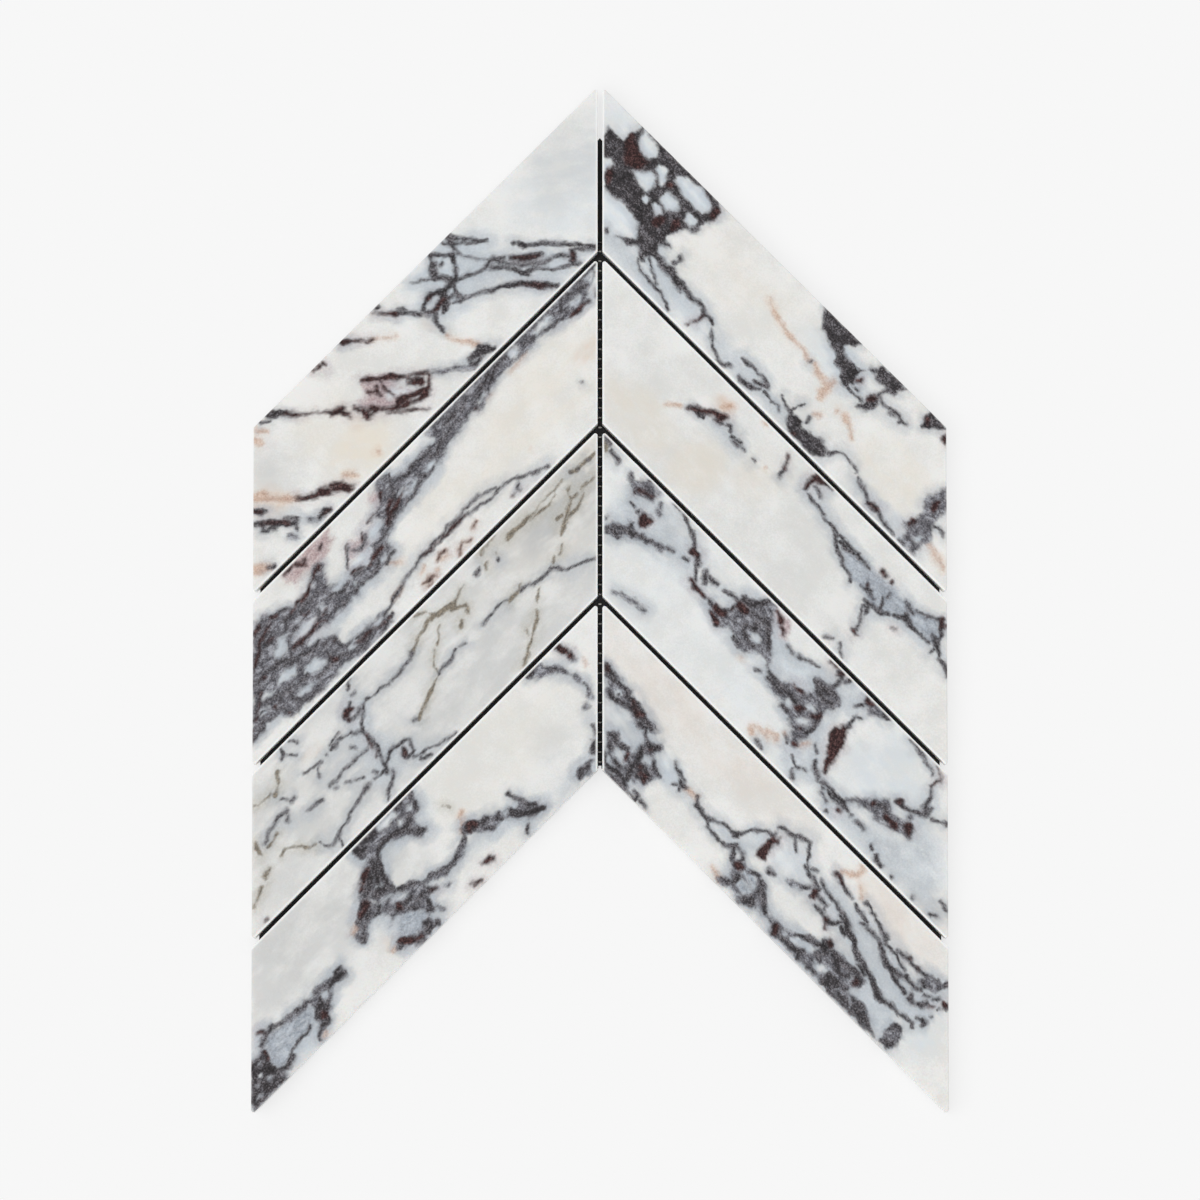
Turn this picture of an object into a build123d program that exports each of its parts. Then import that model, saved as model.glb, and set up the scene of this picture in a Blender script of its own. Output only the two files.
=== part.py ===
from build123d import *

import os
from math import cos, radians, sin, tan

# Chevron mosaic sheet: sawn marble strips in mirrored slanted rows, glued to one mesh backing.
# Millimetres. +Y runs along the sheet to the tip of the chevron, +X to the right and +Z up.
# The origin is under the middle of the sheet, on the plane that the backing lies on.

# Marble strips
rows = 4                     # strips on each side of the central joint
strip_length = 203.2         # along a slanted edge, an 8 inch cut
strip_width = 49.2           # across the slanted edges, a 2 inch strip less a sixteenth for the saw
strip_thickness = 10.0
slope_angle = 45.0           # degrees that the slanted edges fall away from the central joint
joint_width = 2.0            # open joint between neighbouring strips, left for grout
arris = 0.4                  # the sawn top edges are eased by this much
tip_radius = 0.9             # the two acute corners of a strip are worn round

# Mesh backing
backing_thickness = 0.8      # glass mesh and the dark resin that binds it
backing_top_inset = 15.0     # bare stone along the slanted edges beside the tip
backing_side_inset = 2.5     # bare stone along the straight sides
backing_bottom_inset = 0.5   # bare stone along the slanted edges beside the notch

# Layout: heights are measured along Y, parallel to the central joint
slope = radians(slope_angle)
run = strip_length * cos(slope)
rise = strip_length * sin(slope)
strip_height = strip_width / cos(slope)
row_pitch = (strip_width + joint_width) / cos(slope)
column_height = rows * row_pitch - joint_width / cos(slope)
inner_x = joint_width / 2
outer_x = inner_x + run
apex_y = (column_height + rise) / 2

# The backing follows the chevron, so its two slanted lines meet on the central joint
ridge_y = apex_y + inner_x * tan(slope)
backing_tip_y = ridge_y - backing_top_inset / cos(slope)
backing_notch_y = ridge_y - column_height + backing_bottom_inset / cos(slope)
backing_side_x = outer_x - backing_side_inset
backing_fall = backing_side_x * tan(slope)

os.makedirs("parts", exist_ok=True)

# Mesh backing: one thin chevron sheet
with BuildPart() as mesh_backing:
    with BuildSketch():
        with BuildLine():
            Polyline(
                (0, backing_tip_y),
                (backing_side_x, backing_tip_y - backing_fall),
                (backing_side_x, backing_notch_y - backing_fall),
                (0, backing_notch_y),
                (-backing_side_x, backing_notch_y - backing_fall),
                (-backing_side_x, backing_tip_y - backing_fall),
                close=True,
            )
        make_face()
    extrude(amount=backing_thickness)
mesh_backing.part.label = "mesh_backing"
export_step(mesh_backing.part, "parts/mesh_backing.step")

# Marble strips: parallelograms seated on the backing, numbered from the tip of the chevron
for row in range(rows):
    tip_y = apex_y - row * row_pitch
    for side, direction in (("left", -1), ("right", 1)):
        with BuildPart() as strip:
            with BuildSketch(Plane.XY.offset(backing_thickness)) as outline:
                with BuildLine():
                    Polyline(
                        (direction * inner_x, tip_y),
                        (direction * outer_x, tip_y - rise),
                        (direction * outer_x, tip_y - rise - strip_height),
                        (direction * inner_x, tip_y - strip_height),
                        close=True,
                    )
                make_face()
                corners = outline.vertices().sort_by(Axis.Y)
                fillet([corners[0], corners[-1]], tip_radius)
            extrude(amount=strip_thickness)
            chamfer(strip.faces().sort_by(Axis.Z)[-1].edges(), arris)
        node = f"{side}_strip_{row + 1}"
        strip.part.label = node
        export_step(strip.part, f"parts/{node}.step")
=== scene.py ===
from math import cos, pi, radians, sin, sqrt, tan

import bpy
import numpy as np
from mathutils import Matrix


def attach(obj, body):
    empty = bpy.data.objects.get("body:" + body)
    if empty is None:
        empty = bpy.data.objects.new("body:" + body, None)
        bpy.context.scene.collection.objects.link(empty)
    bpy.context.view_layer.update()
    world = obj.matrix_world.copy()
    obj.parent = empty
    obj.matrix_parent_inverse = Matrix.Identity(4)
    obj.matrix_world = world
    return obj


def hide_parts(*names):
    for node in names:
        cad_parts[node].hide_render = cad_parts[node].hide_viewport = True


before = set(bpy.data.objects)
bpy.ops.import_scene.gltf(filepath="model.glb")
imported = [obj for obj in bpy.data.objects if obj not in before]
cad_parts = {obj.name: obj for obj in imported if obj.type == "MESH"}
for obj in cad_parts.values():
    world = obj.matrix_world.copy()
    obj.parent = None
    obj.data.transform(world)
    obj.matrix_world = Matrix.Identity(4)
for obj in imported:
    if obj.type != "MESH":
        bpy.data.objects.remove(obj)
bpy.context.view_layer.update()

# Studio: a plain pale floor under the sheet, an even white sky and one broad lamp to the left.
# The camera is far off with a long lens, nearly overhead, and leans a little to the notch side,
# so it sees a sliver of the shaded sawn face along every slanted joint.
mm = 0.001
floor_size = 12.0
sky_strength = 0.71
lamp_strength = 0.92
lamp_lean = radians(24)
lamp_turn = radians(115)
lamp_spread = radians(60)
camera_distance = 3.3
camera_lean = radians(5)
frame_width = 500.3 * mm
sensor_width = 36.0
sheet_above_centre = 0.8 * mm
top_height = 10.8 * mm


def linear(colour):
    """An sRGB hex colour as linear red, green, blue and alpha."""
    shades = [int(colour[i:i + 2], 16) / 255 for i in (1, 3, 5)]
    return [c / 12.92 if c < 0.04045 else ((c + 0.055) / 1.055) ** 2.4 for c in shades] + [1.0]


def node(tree, kind, inputs=None, **settings):
    """Adds a node, gives it its settings, and links or sets the inputs that are named."""
    made = tree.nodes.new(kind)
    for name, value in settings.items():
        setattr(made, name, value)
    for socket, value in (inputs or {}).items():
        if isinstance(value, bpy.types.NodeSocket):
            tree.links.new(value, made.inputs[socket])
        else:
            made.inputs[socket].default_value = value
    return made


def show(piece):
    """Puts a new object into the scene."""
    bpy.context.scene.collection.objects.link(piece)
    return piece


scene = bpy.context.scene
scene.view_settings.view_transform = "Standard"
world = bpy.data.worlds.new("white sky")
world.use_nodes = True
world.node_tree.nodes["Background"].inputs["Color"].default_value = (1, 1, 1, 1)
world.node_tree.nodes["Background"].inputs["Strength"].default_value = sky_strength
scene.world = world

lamp_data = bpy.data.lights.new("broad lamp", "SUN")
lamp_data.energy = lamp_strength
lamp_data.angle = lamp_spread
lamp = show(bpy.data.objects.new("broad lamp", lamp_data))
lamp.rotation_euler = (-lamp_lean, 0, lamp_turn)

# Paper floor: most of its brightness is its own, so the sheet's shadow stays as faint as the photo's
paper = bpy.data.materials.new("pale studio paper")
paper.use_nodes = True
paper_shader = paper.node_tree.nodes["Principled BSDF"]
paper_shader.inputs["Base Color"].default_value = linear("#9B9B9B")
paper_shader.inputs["Roughness"].default_value = 0.9
paper_shader.inputs["Specular IOR Level"].default_value = 0.0
paper_shader.inputs["Emission Color"].default_value = (1, 1, 1, 1)
paper_shader.inputs["Emission Strength"].default_value = 0.61
floor_mesh = bpy.data.meshes.new("floor")
reach = floor_size / 2
floor_mesh.from_pydata(
    [(-reach, -reach, 0), (reach, -reach, 0), (reach, reach, 0), (-reach, reach, 0)], [], [(0, 1, 2, 3)]
)
floor_mesh.materials.append(paper)
show(bpy.data.objects.new("floor", floor_mesh))

camera_data = bpy.data.cameras.new("camera")
camera_data.sensor_width = sensor_width
camera_data.lens = sensor_width * camera_distance / frame_width
camera_data.clip_end = 50
camera = show(bpy.data.objects.new("camera", camera_data))
camera.location = (
    0,
    -sheet_above_centre - camera_distance * sin(camera_lean),
    top_height + camera_distance * cos(camera_lean),
)
camera.rotation_euler = (camera_lean, 0, 0)
scene.camera = camera

# Marble: white breccia with dark mineral seams, sawn and honed, so it has a soft even sheen.
# The ground is ivory to bluish white in clouds of centimetres, broken up by crystals under a millimetre.
# The seams are grains of charcoal, slate and burgundy in beads and streaks, inside a smoky halo.
marble = bpy.data.materials.new("honed breccia marble")
marble.use_nodes = True
tree = marble.node_tree
place = node(tree, "ShaderNodeAttribute", attribute_name="place").outputs["Vector"]
bed = node(tree, "ShaderNodeAttribute", attribute_name="bed").outputs["Vector"]
noise_detail = 3.0
noise_roughness = 0.6


def blend(share, first, second):
    """A number that goes from the first to the second by its share."""
    return node(tree, "ShaderNodeMix", {0: share, 2: first, 3: second}, data_type="FLOAT").outputs[0]


def cover(share, under, over):
    """One colour over another, as strong as its share."""
    return node(tree, "ShaderNodeMix", {0: share, 6: under, 7: over}, data_type="RGBA").outputs[2]


def rise(value, low, high, most=1.0):
    """A number that rises smoothly from 0 to most while the value goes from low to high."""
    return node(
        tree, "ShaderNodeMapRange", {0: value, 1: low, 2: high, 4: most}, interpolation_type="SMOOTHSTEP"
    ).outputs[0]


def share_of(name):
    """What a strip has of one seam or stain at each place."""
    return node(tree, "ShaderNodeAttribute", attribute_name=name).outputs["Fac"]


noise = {}
for name, size, lie in (
    ("speck", 0.7, place),
    ("bead", 1.3, bed),
    ("ragged", 4.0, bed),
    ("smoke", 9.0, bed),
    ("cloud", 18.0, place),
):
    noise[name] = node(
        tree,
        "ShaderNodeTexNoise",
        {"Vector": lie, "Scale": 1 / size, "Detail": noise_detail, "Roughness": noise_roughness},
    ).outputs
grain = {name: outputs["Fac"] for name, outputs in noise.items()}

# Broken grains: small crushed pieces of stone between dark crystals, as the heavy seams are packed
piece_size = 3.6
piece_shift = 6.0
piece_paleness = 0.4
piece_level = 0.06
speck_in_fine = 0.68
rag_in_mottled = 0.3
smoke_in_hazy = 0.65
shaken = node(
    tree,
    "ShaderNodeVectorMath",
    {0: noise["ragged"]["Color"], 1: (piece_shift, piece_shift, piece_shift), 2: bed},
    operation="MULTIPLY_ADD",
).outputs[0]
pieces = node(
    tree, "ShaderNodeTexVoronoi", {"Vector": shaken, "Scale": 1 / piece_size}, feature="DISTANCE_TO_EDGE"
).outputs["Distance"]
fine = blend(speck_in_fine, grain["bead"], grain["speck"])
mottled = blend(rag_in_mottled, fine, grain["ragged"])
hazy = blend(smoke_in_hazy, fine, grain["smoke"])
broken = node(
    tree, "ShaderNodeMath", {0: pieces, 1: piece_paleness, 2: mottled}, operation="MULTIPLY_ADD"
).outputs[0]
broken = node(tree, "ShaderNodeMath", {0: broken, 1: piece_level}, operation="SUBTRACT").outputs[0]

# Ground: two whites in clouds and crystals, then the strip's soft stains, each as strong as its share
speck_in_cloud = 0.4
cloud_low, cloud_high = 0.38, 0.62
patch_low, patch_high = 0.34, 0.62
thinnest_stain = 0.35
clouded = rise(blend(speck_in_cloud, grain["cloud"], grain["speck"]), cloud_low, cloud_high)
surface = cover(clouded, linear("#DFDFDC"), linear("#ECECEA"))
patchy = rise(grain["smoke"], patch_low, patch_high)
patchy = node(tree, "ShaderNodeMapRange", {0: patchy, 3: thinnest_stain}).outputs[0]
stains = (("cool", "#D8E1E8"), ("warm", "#E7DFD1"), ("shade", "#C0C1C1"), ("blush", "#DCCDC0"))
for name, colour in stains:
    share = node(tree, "ShaderNodeMath", {0: share_of(name), 1: patchy}, operation="MULTIPLY").outputs[0]
    surface = cover(share, surface, linear(colour))

# Seams: name, the depths in mm where one starts and is full, its strength, the noise that shifts its
# edge and by how many mm, the grains that pattern it, and its colours from dark grains to pale.
# The wide ones are the smoky halo.
seams = (
    ("mist", -4.0, 4.0, 0.70, "smoke", 12.0, hazy, "#A7AFB8", "#C2C9CF", "#DCE1E4"),
    ("rose", -2.5, 2.0, 0.80, "ragged", 9.0, mottled, "#866469", "#AF9496", "#D3C5C4"),
    ("olive", -4.5, 0.5, 0.45, "smoke", 9.0, fine, "#A9A496", "#B9B5A9", "#C8C5BC"),
    ("rust", -3.0, 0.6, 0.40, "smoke", 6.0, fine, "#D0B39C", "#DBC5B2", "#E2D3C6"),
    ("wine", -4.0, 0.5, 0.40, "smoke", 11.0, fine, "#A39499", "#B5AAAE", "#C8C1C4"),
    ("grey", -5.0, 0.5, 0.50, "smoke", 12.0, hazy, "#8B9199", "#A6ACB4", "#C0C6CC"),
    ("dark", -5.0, 0.3, 0.45, "smoke", 14.0, hazy, "#858C95", "#A2A9B1", "#BFC5CC"),
    ("slate", -1.5, 1.5, 0.75, "ragged", 5.0, broken, "#7F8690", "#A2A9B3", "#BDC4CC"),
    ("rust", -1.5, 1.2, 0.62, "ragged", 5.0, mottled, "#8A5A45", "#B88F75", "#DCC5B3"),
    ("olive", -0.8, 0.6, 0.85, "ragged", 3.0, fine, "#4A4133", "#6C604E", "#998D79"),
    ("grey", -1.5, 1.0, 0.97, "ragged", 6.0, broken, "#37343A", "#6F6E74", "#A9ABB2"),
    ("dark", -1.2, 0.4, 0.60, "ragged", 3.0, fine, "#4B494D", "#6B696E", "#98989D"),
    ("dark", -0.7, 0.8, 1.0, "bead", 3.0, mottled, "#171416", "#3A3639", "#8A878C"),
    ("wine", -1.2, 0.9, 1.0, "ragged", 4.0, fine, "#1C0B0B", "#331A1A", "#664745"),
)
ramp_stops = (0.38, 0.5, 0.64)
for name, start, full, strength, edge, shift, pattern, *colours in seams:
    shifted = node(
        tree, "ShaderNodeMath", {0: grain[edge], 1: shift, 2: share_of(name)}, operation="MULTIPLY_ADD"
    ).outputs[0]
    share = rise(shifted, start + shift / 2, full + shift / 2, strength)
    grains = node(tree, "ShaderNodeValToRGB", {0: pattern})
    stops = grains.color_ramp.elements
    stops.new(ramp_stops[1])
    for stop, position, colour in zip(stops, ramp_stops, colours):
        stop.position = position
        stop.color = linear(colour)
    surface = cover(share, surface, grains.outputs[0])

# Arris and saw cut: whitened over the seams too, partly where the blade and the hand stone bruise the
# crystals
# and partly painted light: a painted highlight on the arrises by the joints, painted light on the sawn
# sides
surface = cover(share_of("worn"), surface, linear("#FCFCFA"))

# Honed finish: the crystals break the sheen up a little, and the softer dark seams are duller.
# Light goes a few millimetres into the stone, so the sawn sides glow a little down in the joints.
dark_seam, pale_ground = 0.05, 0.6
seam_roughness, ground_roughness = 0.42, 0.3
crystal_relief = 0.08
crystal_height = 0.05 * mm
light = node(tree, "ShaderNodeRGBToBW", {0: surface}).outputs[0]
dull = node(
    tree,
    "ShaderNodeMapRange",
    {0: light, 1: dark_seam, 2: pale_ground, 3: seam_roughness, 4: ground_roughness},
).outputs[0]
crystals = node(
    tree,
    "ShaderNodeBump",
    {"Strength": crystal_relief, "Distance": crystal_height, "Height": grain["speck"]},
).outputs[0]
shader = tree.nodes["Principled BSDF"]
tree.links.new(surface, shader.inputs["Base Color"])
tree.links.new(dull, shader.inputs["Roughness"])
tree.links.new(crystals, shader.inputs["Normal"])
shader.inputs["IOR"].default_value = 1.5
shader.inputs["Specular IOR Level"].default_value = 0.2
shader.inputs["Subsurface Weight"].default_value = 0.25
shader.inputs["Subsurface Radius"].default_value = (1.0, 0.66, 0.47)
shader.inputs["Subsurface Scale"].default_value = 6.0 * mm

# Strips: eight parallelograms of 10 mm stone fall at 45 degrees from the central joint, sawn on all sides.
# A place is given in mm along the upper slanted edge from the inner corner, and across from that edge.
# The two acute corners are worn round and the edges of the polished face are eased by hand.
rows = 4
strip_length = 203.2
strip_width = 49.2
strip_underside = 0.8
strip_top = 10.8
joint_width = 2.0
slope = radians(45)
tip_radius = 0.9
eased_edge = 0.45
easing_change = 0.25
easing_wave = 7.0
cell = 0.5
edge_cells = (0, 0.06, 0.2, 0.45, 0.8, 1.3)
side_rings = (8.2, 5.8, 3.3, strip_underside)
field_reach = 9.0
usual_swell = 1.3
slow_stray, slow_wave = 0.3, 5.5
quick_stray, quick_wave = 0.12, 2.2
stain_fade = 0.7
fragment_rim = 0.5
seam_dip = 0.35
# Whitening of the sawn sides and of the arrises by the joints: partly bruised crystals, partly painted
# light
sawn_wear_and_joint_light = 0.5
arris_wear_and_highlight = 1.5
most_wear_and_highlight = 0.95
wear_and_highlight_reach = 0.9
block_length = 300.0
block_width = 80.0
bed_stretch = 0.5
inner_x = joint_width / 2
row_pitch = (strip_width + joint_width) / cos(slope)
column_height = rows * row_pitch - joint_width / cos(slope)
apex_y = (column_height + strip_length * sin(slope)) / 2


def steps(length):
    """Places from 0 to length, one cell apart, and much closer over the eased edges."""
    edge = eased_edge * np.array(edge_cells)
    middle = np.linspace(edge[-1], length - edge[-1], round(length / cell))
    return np.concatenate([edge, middle[1:-1], length - edge[::-1]])


def wander(along, across, size, seed):
    """A smooth random height, mostly between -1 and 1, in waves about as long as size in mm."""
    draw = np.random.default_rng(seed)
    waves = 9
    shortest, longest = 0.7, 1.7
    height = np.zeros_like(along)
    for _ in range(waves):
        turn, phase = draw.uniform(0, 2 * pi, 2)
        pace = 2 * pi / (size * draw.uniform(shortest, longest))
        height += np.sin((along * cos(turn) + across * sin(turn)) * pace + phase)
    return height / sqrt(waves)


def near_to(points, along, across):
    """Which places lie in the box round these points, or within the reach of a field from it."""
    low = points.min(0) - field_reach
    high = points.max(0) + field_reach
    return (along > low[0]) & (along < high[0]) & (across > low[1]) & (across < high[1])


def line_gap(a, c, start, end):
    """How far each place is from a straight line, and the share of the line at its nearest point."""
    run = end - start
    part = np.clip(((a - start[0]) * run[0] + (c - start[1]) * run[1]) / max(run @ run, 1e-9), 0, 1)
    return np.hypot(a - start[0] - part * run[0], c - start[1] - part * run[1]), part


def vein_depth(veins, along, across, swell):
    """How deep each place is in the veins, in mm. A vein is along, across and half its width,
    over and over, and the widths are all multiplied by the swell."""
    depth = np.full(along.shape, -field_reach)
    for vein in veins:
        stops = np.reshape(vein, (-1, 3))
        if len(stops) == 1:
            stops = np.repeat(stops, 2, axis=0)
        near = near_to(stops[:, :2], along, across)
        best = depth[near]
        for start, end in zip(stops[:-1], stops[1:]):
            gap, part = line_gap(along[near], across[near], start[:2], end[:2])
            best = np.maximum(best, swell * (start[2] + part * (end[2] - start[2])) - gap)
        depth[near] = best
    return depth


def patch_depth(outlines, along, across):
    """How deep each place is in the patches, in mm. An outline is along and across, over and over."""
    depth = np.full(along.shape, -field_reach)
    for outline in outlines:
        corners = np.reshape(outline, (-1, 2))
        near = near_to(corners, along, across)
        a, c = along[near], across[near]
        gap = np.full(a.shape, 1e9)
        inside = np.zeros(a.shape, bool)
        for start, end in zip(corners, np.roll(corners, -1, axis=0)):
            gap = np.minimum(gap, line_gap(a, c, start, end)[0])
            if start[1] != end[1]:
                crossing = start[0] + (c - start[1]) * (end[0] - start[0]) / (end[1] - start[1])
                inside ^= ((start[1] > c) != (end[1] > c)) & (a < crossing)
        depth[near] = np.maximum(depth[near], np.where(inside, gap, -gap))
    return depth


def stain_share(clouds, along, across):
    """Soft stains from 0 to 1. A cloud is its middle, its reach along and across, and its strength."""
    share = np.zeros_like(along)
    for middle_along, middle_across, reach_along, reach_across, strength in clouds:
        far = ((along - middle_along) / reach_along) ** 2 + ((across - middle_across) / reach_across) ** 2
        share = np.maximum(share, strength * np.exp(-stain_fade * far * far))
    return share


def lay_strip(side, row, **stone):
    """Saws one strip, gives it its seams and stains, and lays it in its row, counted from the tip."""
    name = f"{side}_strip_{row}"
    direction = -1 if side == "left" else 1
    round_reach = tip_radius / tan(slope / 2)

    # Polished face: a grid between the two ends, whose acute corners are arcs
    across = steps(strip_width)
    share = steps(strip_length) / strip_length

    def end_of(distance):
        arc = round_reach - np.sqrt(np.clip(tip_radius**2 - (distance - tip_radius) ** 2, 0, None))
        return np.where(distance < round_reach * cos(slope), arc, distance)

    start = end_of(across)[:, None]
    finish = strip_length + strip_width - end_of(strip_width - across)[:, None]
    along = start + share * (finish - start)
    across = np.repeat(across[:, None], len(share), axis=1)

    # Eased edge: a quarter round whose size wanders a little, as a hand stone leaves it
    def edge_gap(a, c):
        gap = np.minimum(c, (a - c) * sin(slope))
        worn = (a < round_reach) & (a * cos(slope) + c * sin(slope) < round_reach)
        return np.where(worn, tip_radius - np.hypot(a - round_reach, c - tip_radius), gap)

    far_along = strip_length + strip_width - along
    gap = np.minimum(edge_gap(along, across), edge_gap(far_along, strip_width - across))
    easing = eased_edge * (1 + easing_change * wander(along, across, easing_wave, row * 10 + direction))
    inward = np.clip(easing - np.clip(gap, 0, None), 0, None)
    height = strip_top - easing + np.sqrt(np.clip(easing**2 - inward**2, 0, None))

    # Sawn sides: rings under the rim of the face, where the seams lean as they go down into the stone
    count_across, count_along = along.shape
    ids = np.arange(along.size).reshape(along.shape)
    rim = np.concatenate([ids[0, :-1], ids[:-1, -1], ids[-1, :0:-1], ids[:0:-1, 0]])
    flat_along = along.ravel()
    flat_across = across.ravel()
    flat_height = height.ravel()
    all_along = np.concatenate([flat_along] + [flat_along[rim]] * len(side_rings))
    all_across = np.concatenate([flat_across] + [flat_across[rim]] * len(side_rings))
    all_height = np.concatenate([flat_height] + [np.full(len(rim), z) for z in side_rings])

    tip_y = apex_y - (row - 1) * row_pitch
    x = direction * (inner_x + all_along * cos(slope) - all_across * sin(slope))
    y = tip_y - all_along * sin(slope) - all_across * cos(slope)
    points = np.stack([x, y, all_height], axis=1) * mm

    quads = np.stack([ids[:-1, :-1], ids[:-1, 1:], ids[1:, 1:], ids[1:, :-1]], axis=-1).reshape(-1, 4)
    rings = [rim] + [along.size + i * len(rim) + np.arange(len(rim)) for i in range(len(side_rings))]
    for upper, lower in zip(rings[:-1], rings[1:]):
        wall = np.stack([np.roll(upper, -1), upper, lower, np.roll(lower, -1)], axis=-1)
        quads = np.concatenate([quads, wall])
    underside = rings[-1]
    if side == "right":
        quads = quads[:, ::-1]
    else:
        underside = underside[::-1]
    mesh = bpy.data.meshes.new(name + "_marble")
    mesh.from_pydata(points.tolist(), [], quads.tolist() + [underside.tolist()])
    mesh.polygons.foreach_set("use_smooth", [True] * len(quads) + [False])

    # Bake map: the face above, the sides as one band under it, and the underside at the bottom
    map_margin = 0.01
    map_width = 0.98
    face_bottom, face_height = 0.28, 0.71
    band_top, band_bottom = 0.26, 0.14
    underside_height = 0.11
    face_u = map_margin + map_width * np.broadcast_to(share, along.shape)
    face_v = face_bottom + face_height * across / strip_width
    face_uv = np.stack([face_u, face_v], axis=-1).reshape(-1, 2)
    rim_run = np.hypot(*(points[rim][:, :2] - points[np.roll(rim, -1)][:, :2]).T)
    rim_share = np.concatenate([[0], np.cumsum(rim_run)]) / rim_run.sum()
    levels = np.linspace(band_top, band_bottom, len(rings))
    uv = [face_uv[quads[: (count_across - 1) * (count_along - 1)]].reshape(-1, 2)]
    for upper, lower in zip(levels[:-1], levels[1:]):
        band = np.stack(
            [
                np.stack([rim_share[1:], np.full(len(rim), upper)], axis=-1),
                np.stack([rim_share[:-1], np.full(len(rim), upper)], axis=-1),
                np.stack([rim_share[:-1], np.full(len(rim), lower)], axis=-1),
                np.stack([rim_share[1:], np.full(len(rim), lower)], axis=-1),
            ],
            axis=1,
        )
        if side == "right":
            band = band[:, ::-1]
        uv.append(np.array([map_margin, 0]) + band.reshape(-1, 2) * np.array([map_width, 1]))
    floor_u = map_margin + map_width * face_uv[rim, 0]
    floor_v = map_margin + underside_height * flat_across[rim] / strip_width
    floor_uv = np.stack([floor_u, floor_v], axis=-1)
    uv.append(floor_uv if side == "right" else floor_uv[::-1])
    bake = mesh.uv_layers.new(name="OFBake")
    bake.data.foreach_set("uv", np.concatenate(uv).astype(np.float32).ravel())

    # Seams and stains: read at places that wander, so no seam is straighter than stone breaks
    depth = strip_top - all_height
    seed = row * 100 + direction * 7
    a = all_along + seam_dip * depth + slow_stray * wander(all_along, all_across, slow_wave, seed + 1)
    a += quick_stray * wander(all_along, all_across, quick_wave, seed + 2)
    c = all_across - seam_dip * depth + slow_stray * wander(all_along, all_across, slow_wave, seed + 3)
    c += quick_stray * wander(all_along, all_across, quick_wave, seed + 4)
    fragments = patch_depth(stone.get("fragments", ()), a, c)
    fields = {}
    for kind in ("dark", "grey", "wine", "rust", "olive", "slate", "mist", "rose"):
        mass = np.minimum(patch_depth(stone.get(kind + "_mass", ()), a, c), -fragments)
        veins = vein_depth(stone.get(kind, ()), a, c, stone.get("swell", usual_swell))
        fields[kind] = np.maximum(mass, veins)
    for kind in ("cool", "warm", "shade", "blush"):
        fields[kind] = stain_share(stone.get(kind, ()), a, c)
    fields["cool"] = np.maximum(fields["cool"], np.clip(fragments + fragment_rim, 0, 1))
    # Sawn sides whitened all over: saw pallor plus painted light down in the joints. The face is whitened
    # only near edges that meet a joint: a rubbed arris plus a painted highlight line
    fields["worn"] = np.full_like(a, sawn_wear_and_joint_light)
    joint_gap = (along - across) * sin(slope)
    if row > 1:
        joint_gap = np.minimum(joint_gap, across)
    if row < rows:
        joint_gap = np.minimum(joint_gap, strip_width - across)
    arris_wear_and_highlight_share = np.clip(arris_wear_and_highlight - arris_wear_and_highlight * joint_gap / wear_and_highlight_reach, 0, most_wear_and_highlight)
    fields["worn"][: gap.size] = arris_wear_and_highlight_share.ravel()
    for kind, values in fields.items():
        layer = mesh.attributes.new(kind, "FLOAT", "POINT")
        layer.data.foreach_set("value", values.astype(np.float32))

    # Grain: places in the strip's own block of stone, and the same drawn out along its bedding
    block_along = all_along + block_length * row
    block_across = all_across + block_width * direction
    turn = radians(stone.get("bedding", 0))
    bed_along = bed_stretch * (block_along * cos(turn) + block_across * sin(turn))
    bed_across = block_across * cos(turn) - block_along * sin(turn)
    for kind, lie in (
        ("place", (block_along, block_across, all_height)),
        ("bed", (bed_along, bed_across, all_height)),
    ):
        layer = mesh.attributes.new(kind, "FLOAT_VECTOR", "POINT")
        layer.data.foreach_set("vector", np.stack(lie, axis=1).astype(np.float32).ravel())

    mesh.materials.append(marble)
    strip = show(bpy.data.objects.new(name + "_marble", mesh))
    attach(strip, "root")
    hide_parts(name)


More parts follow.
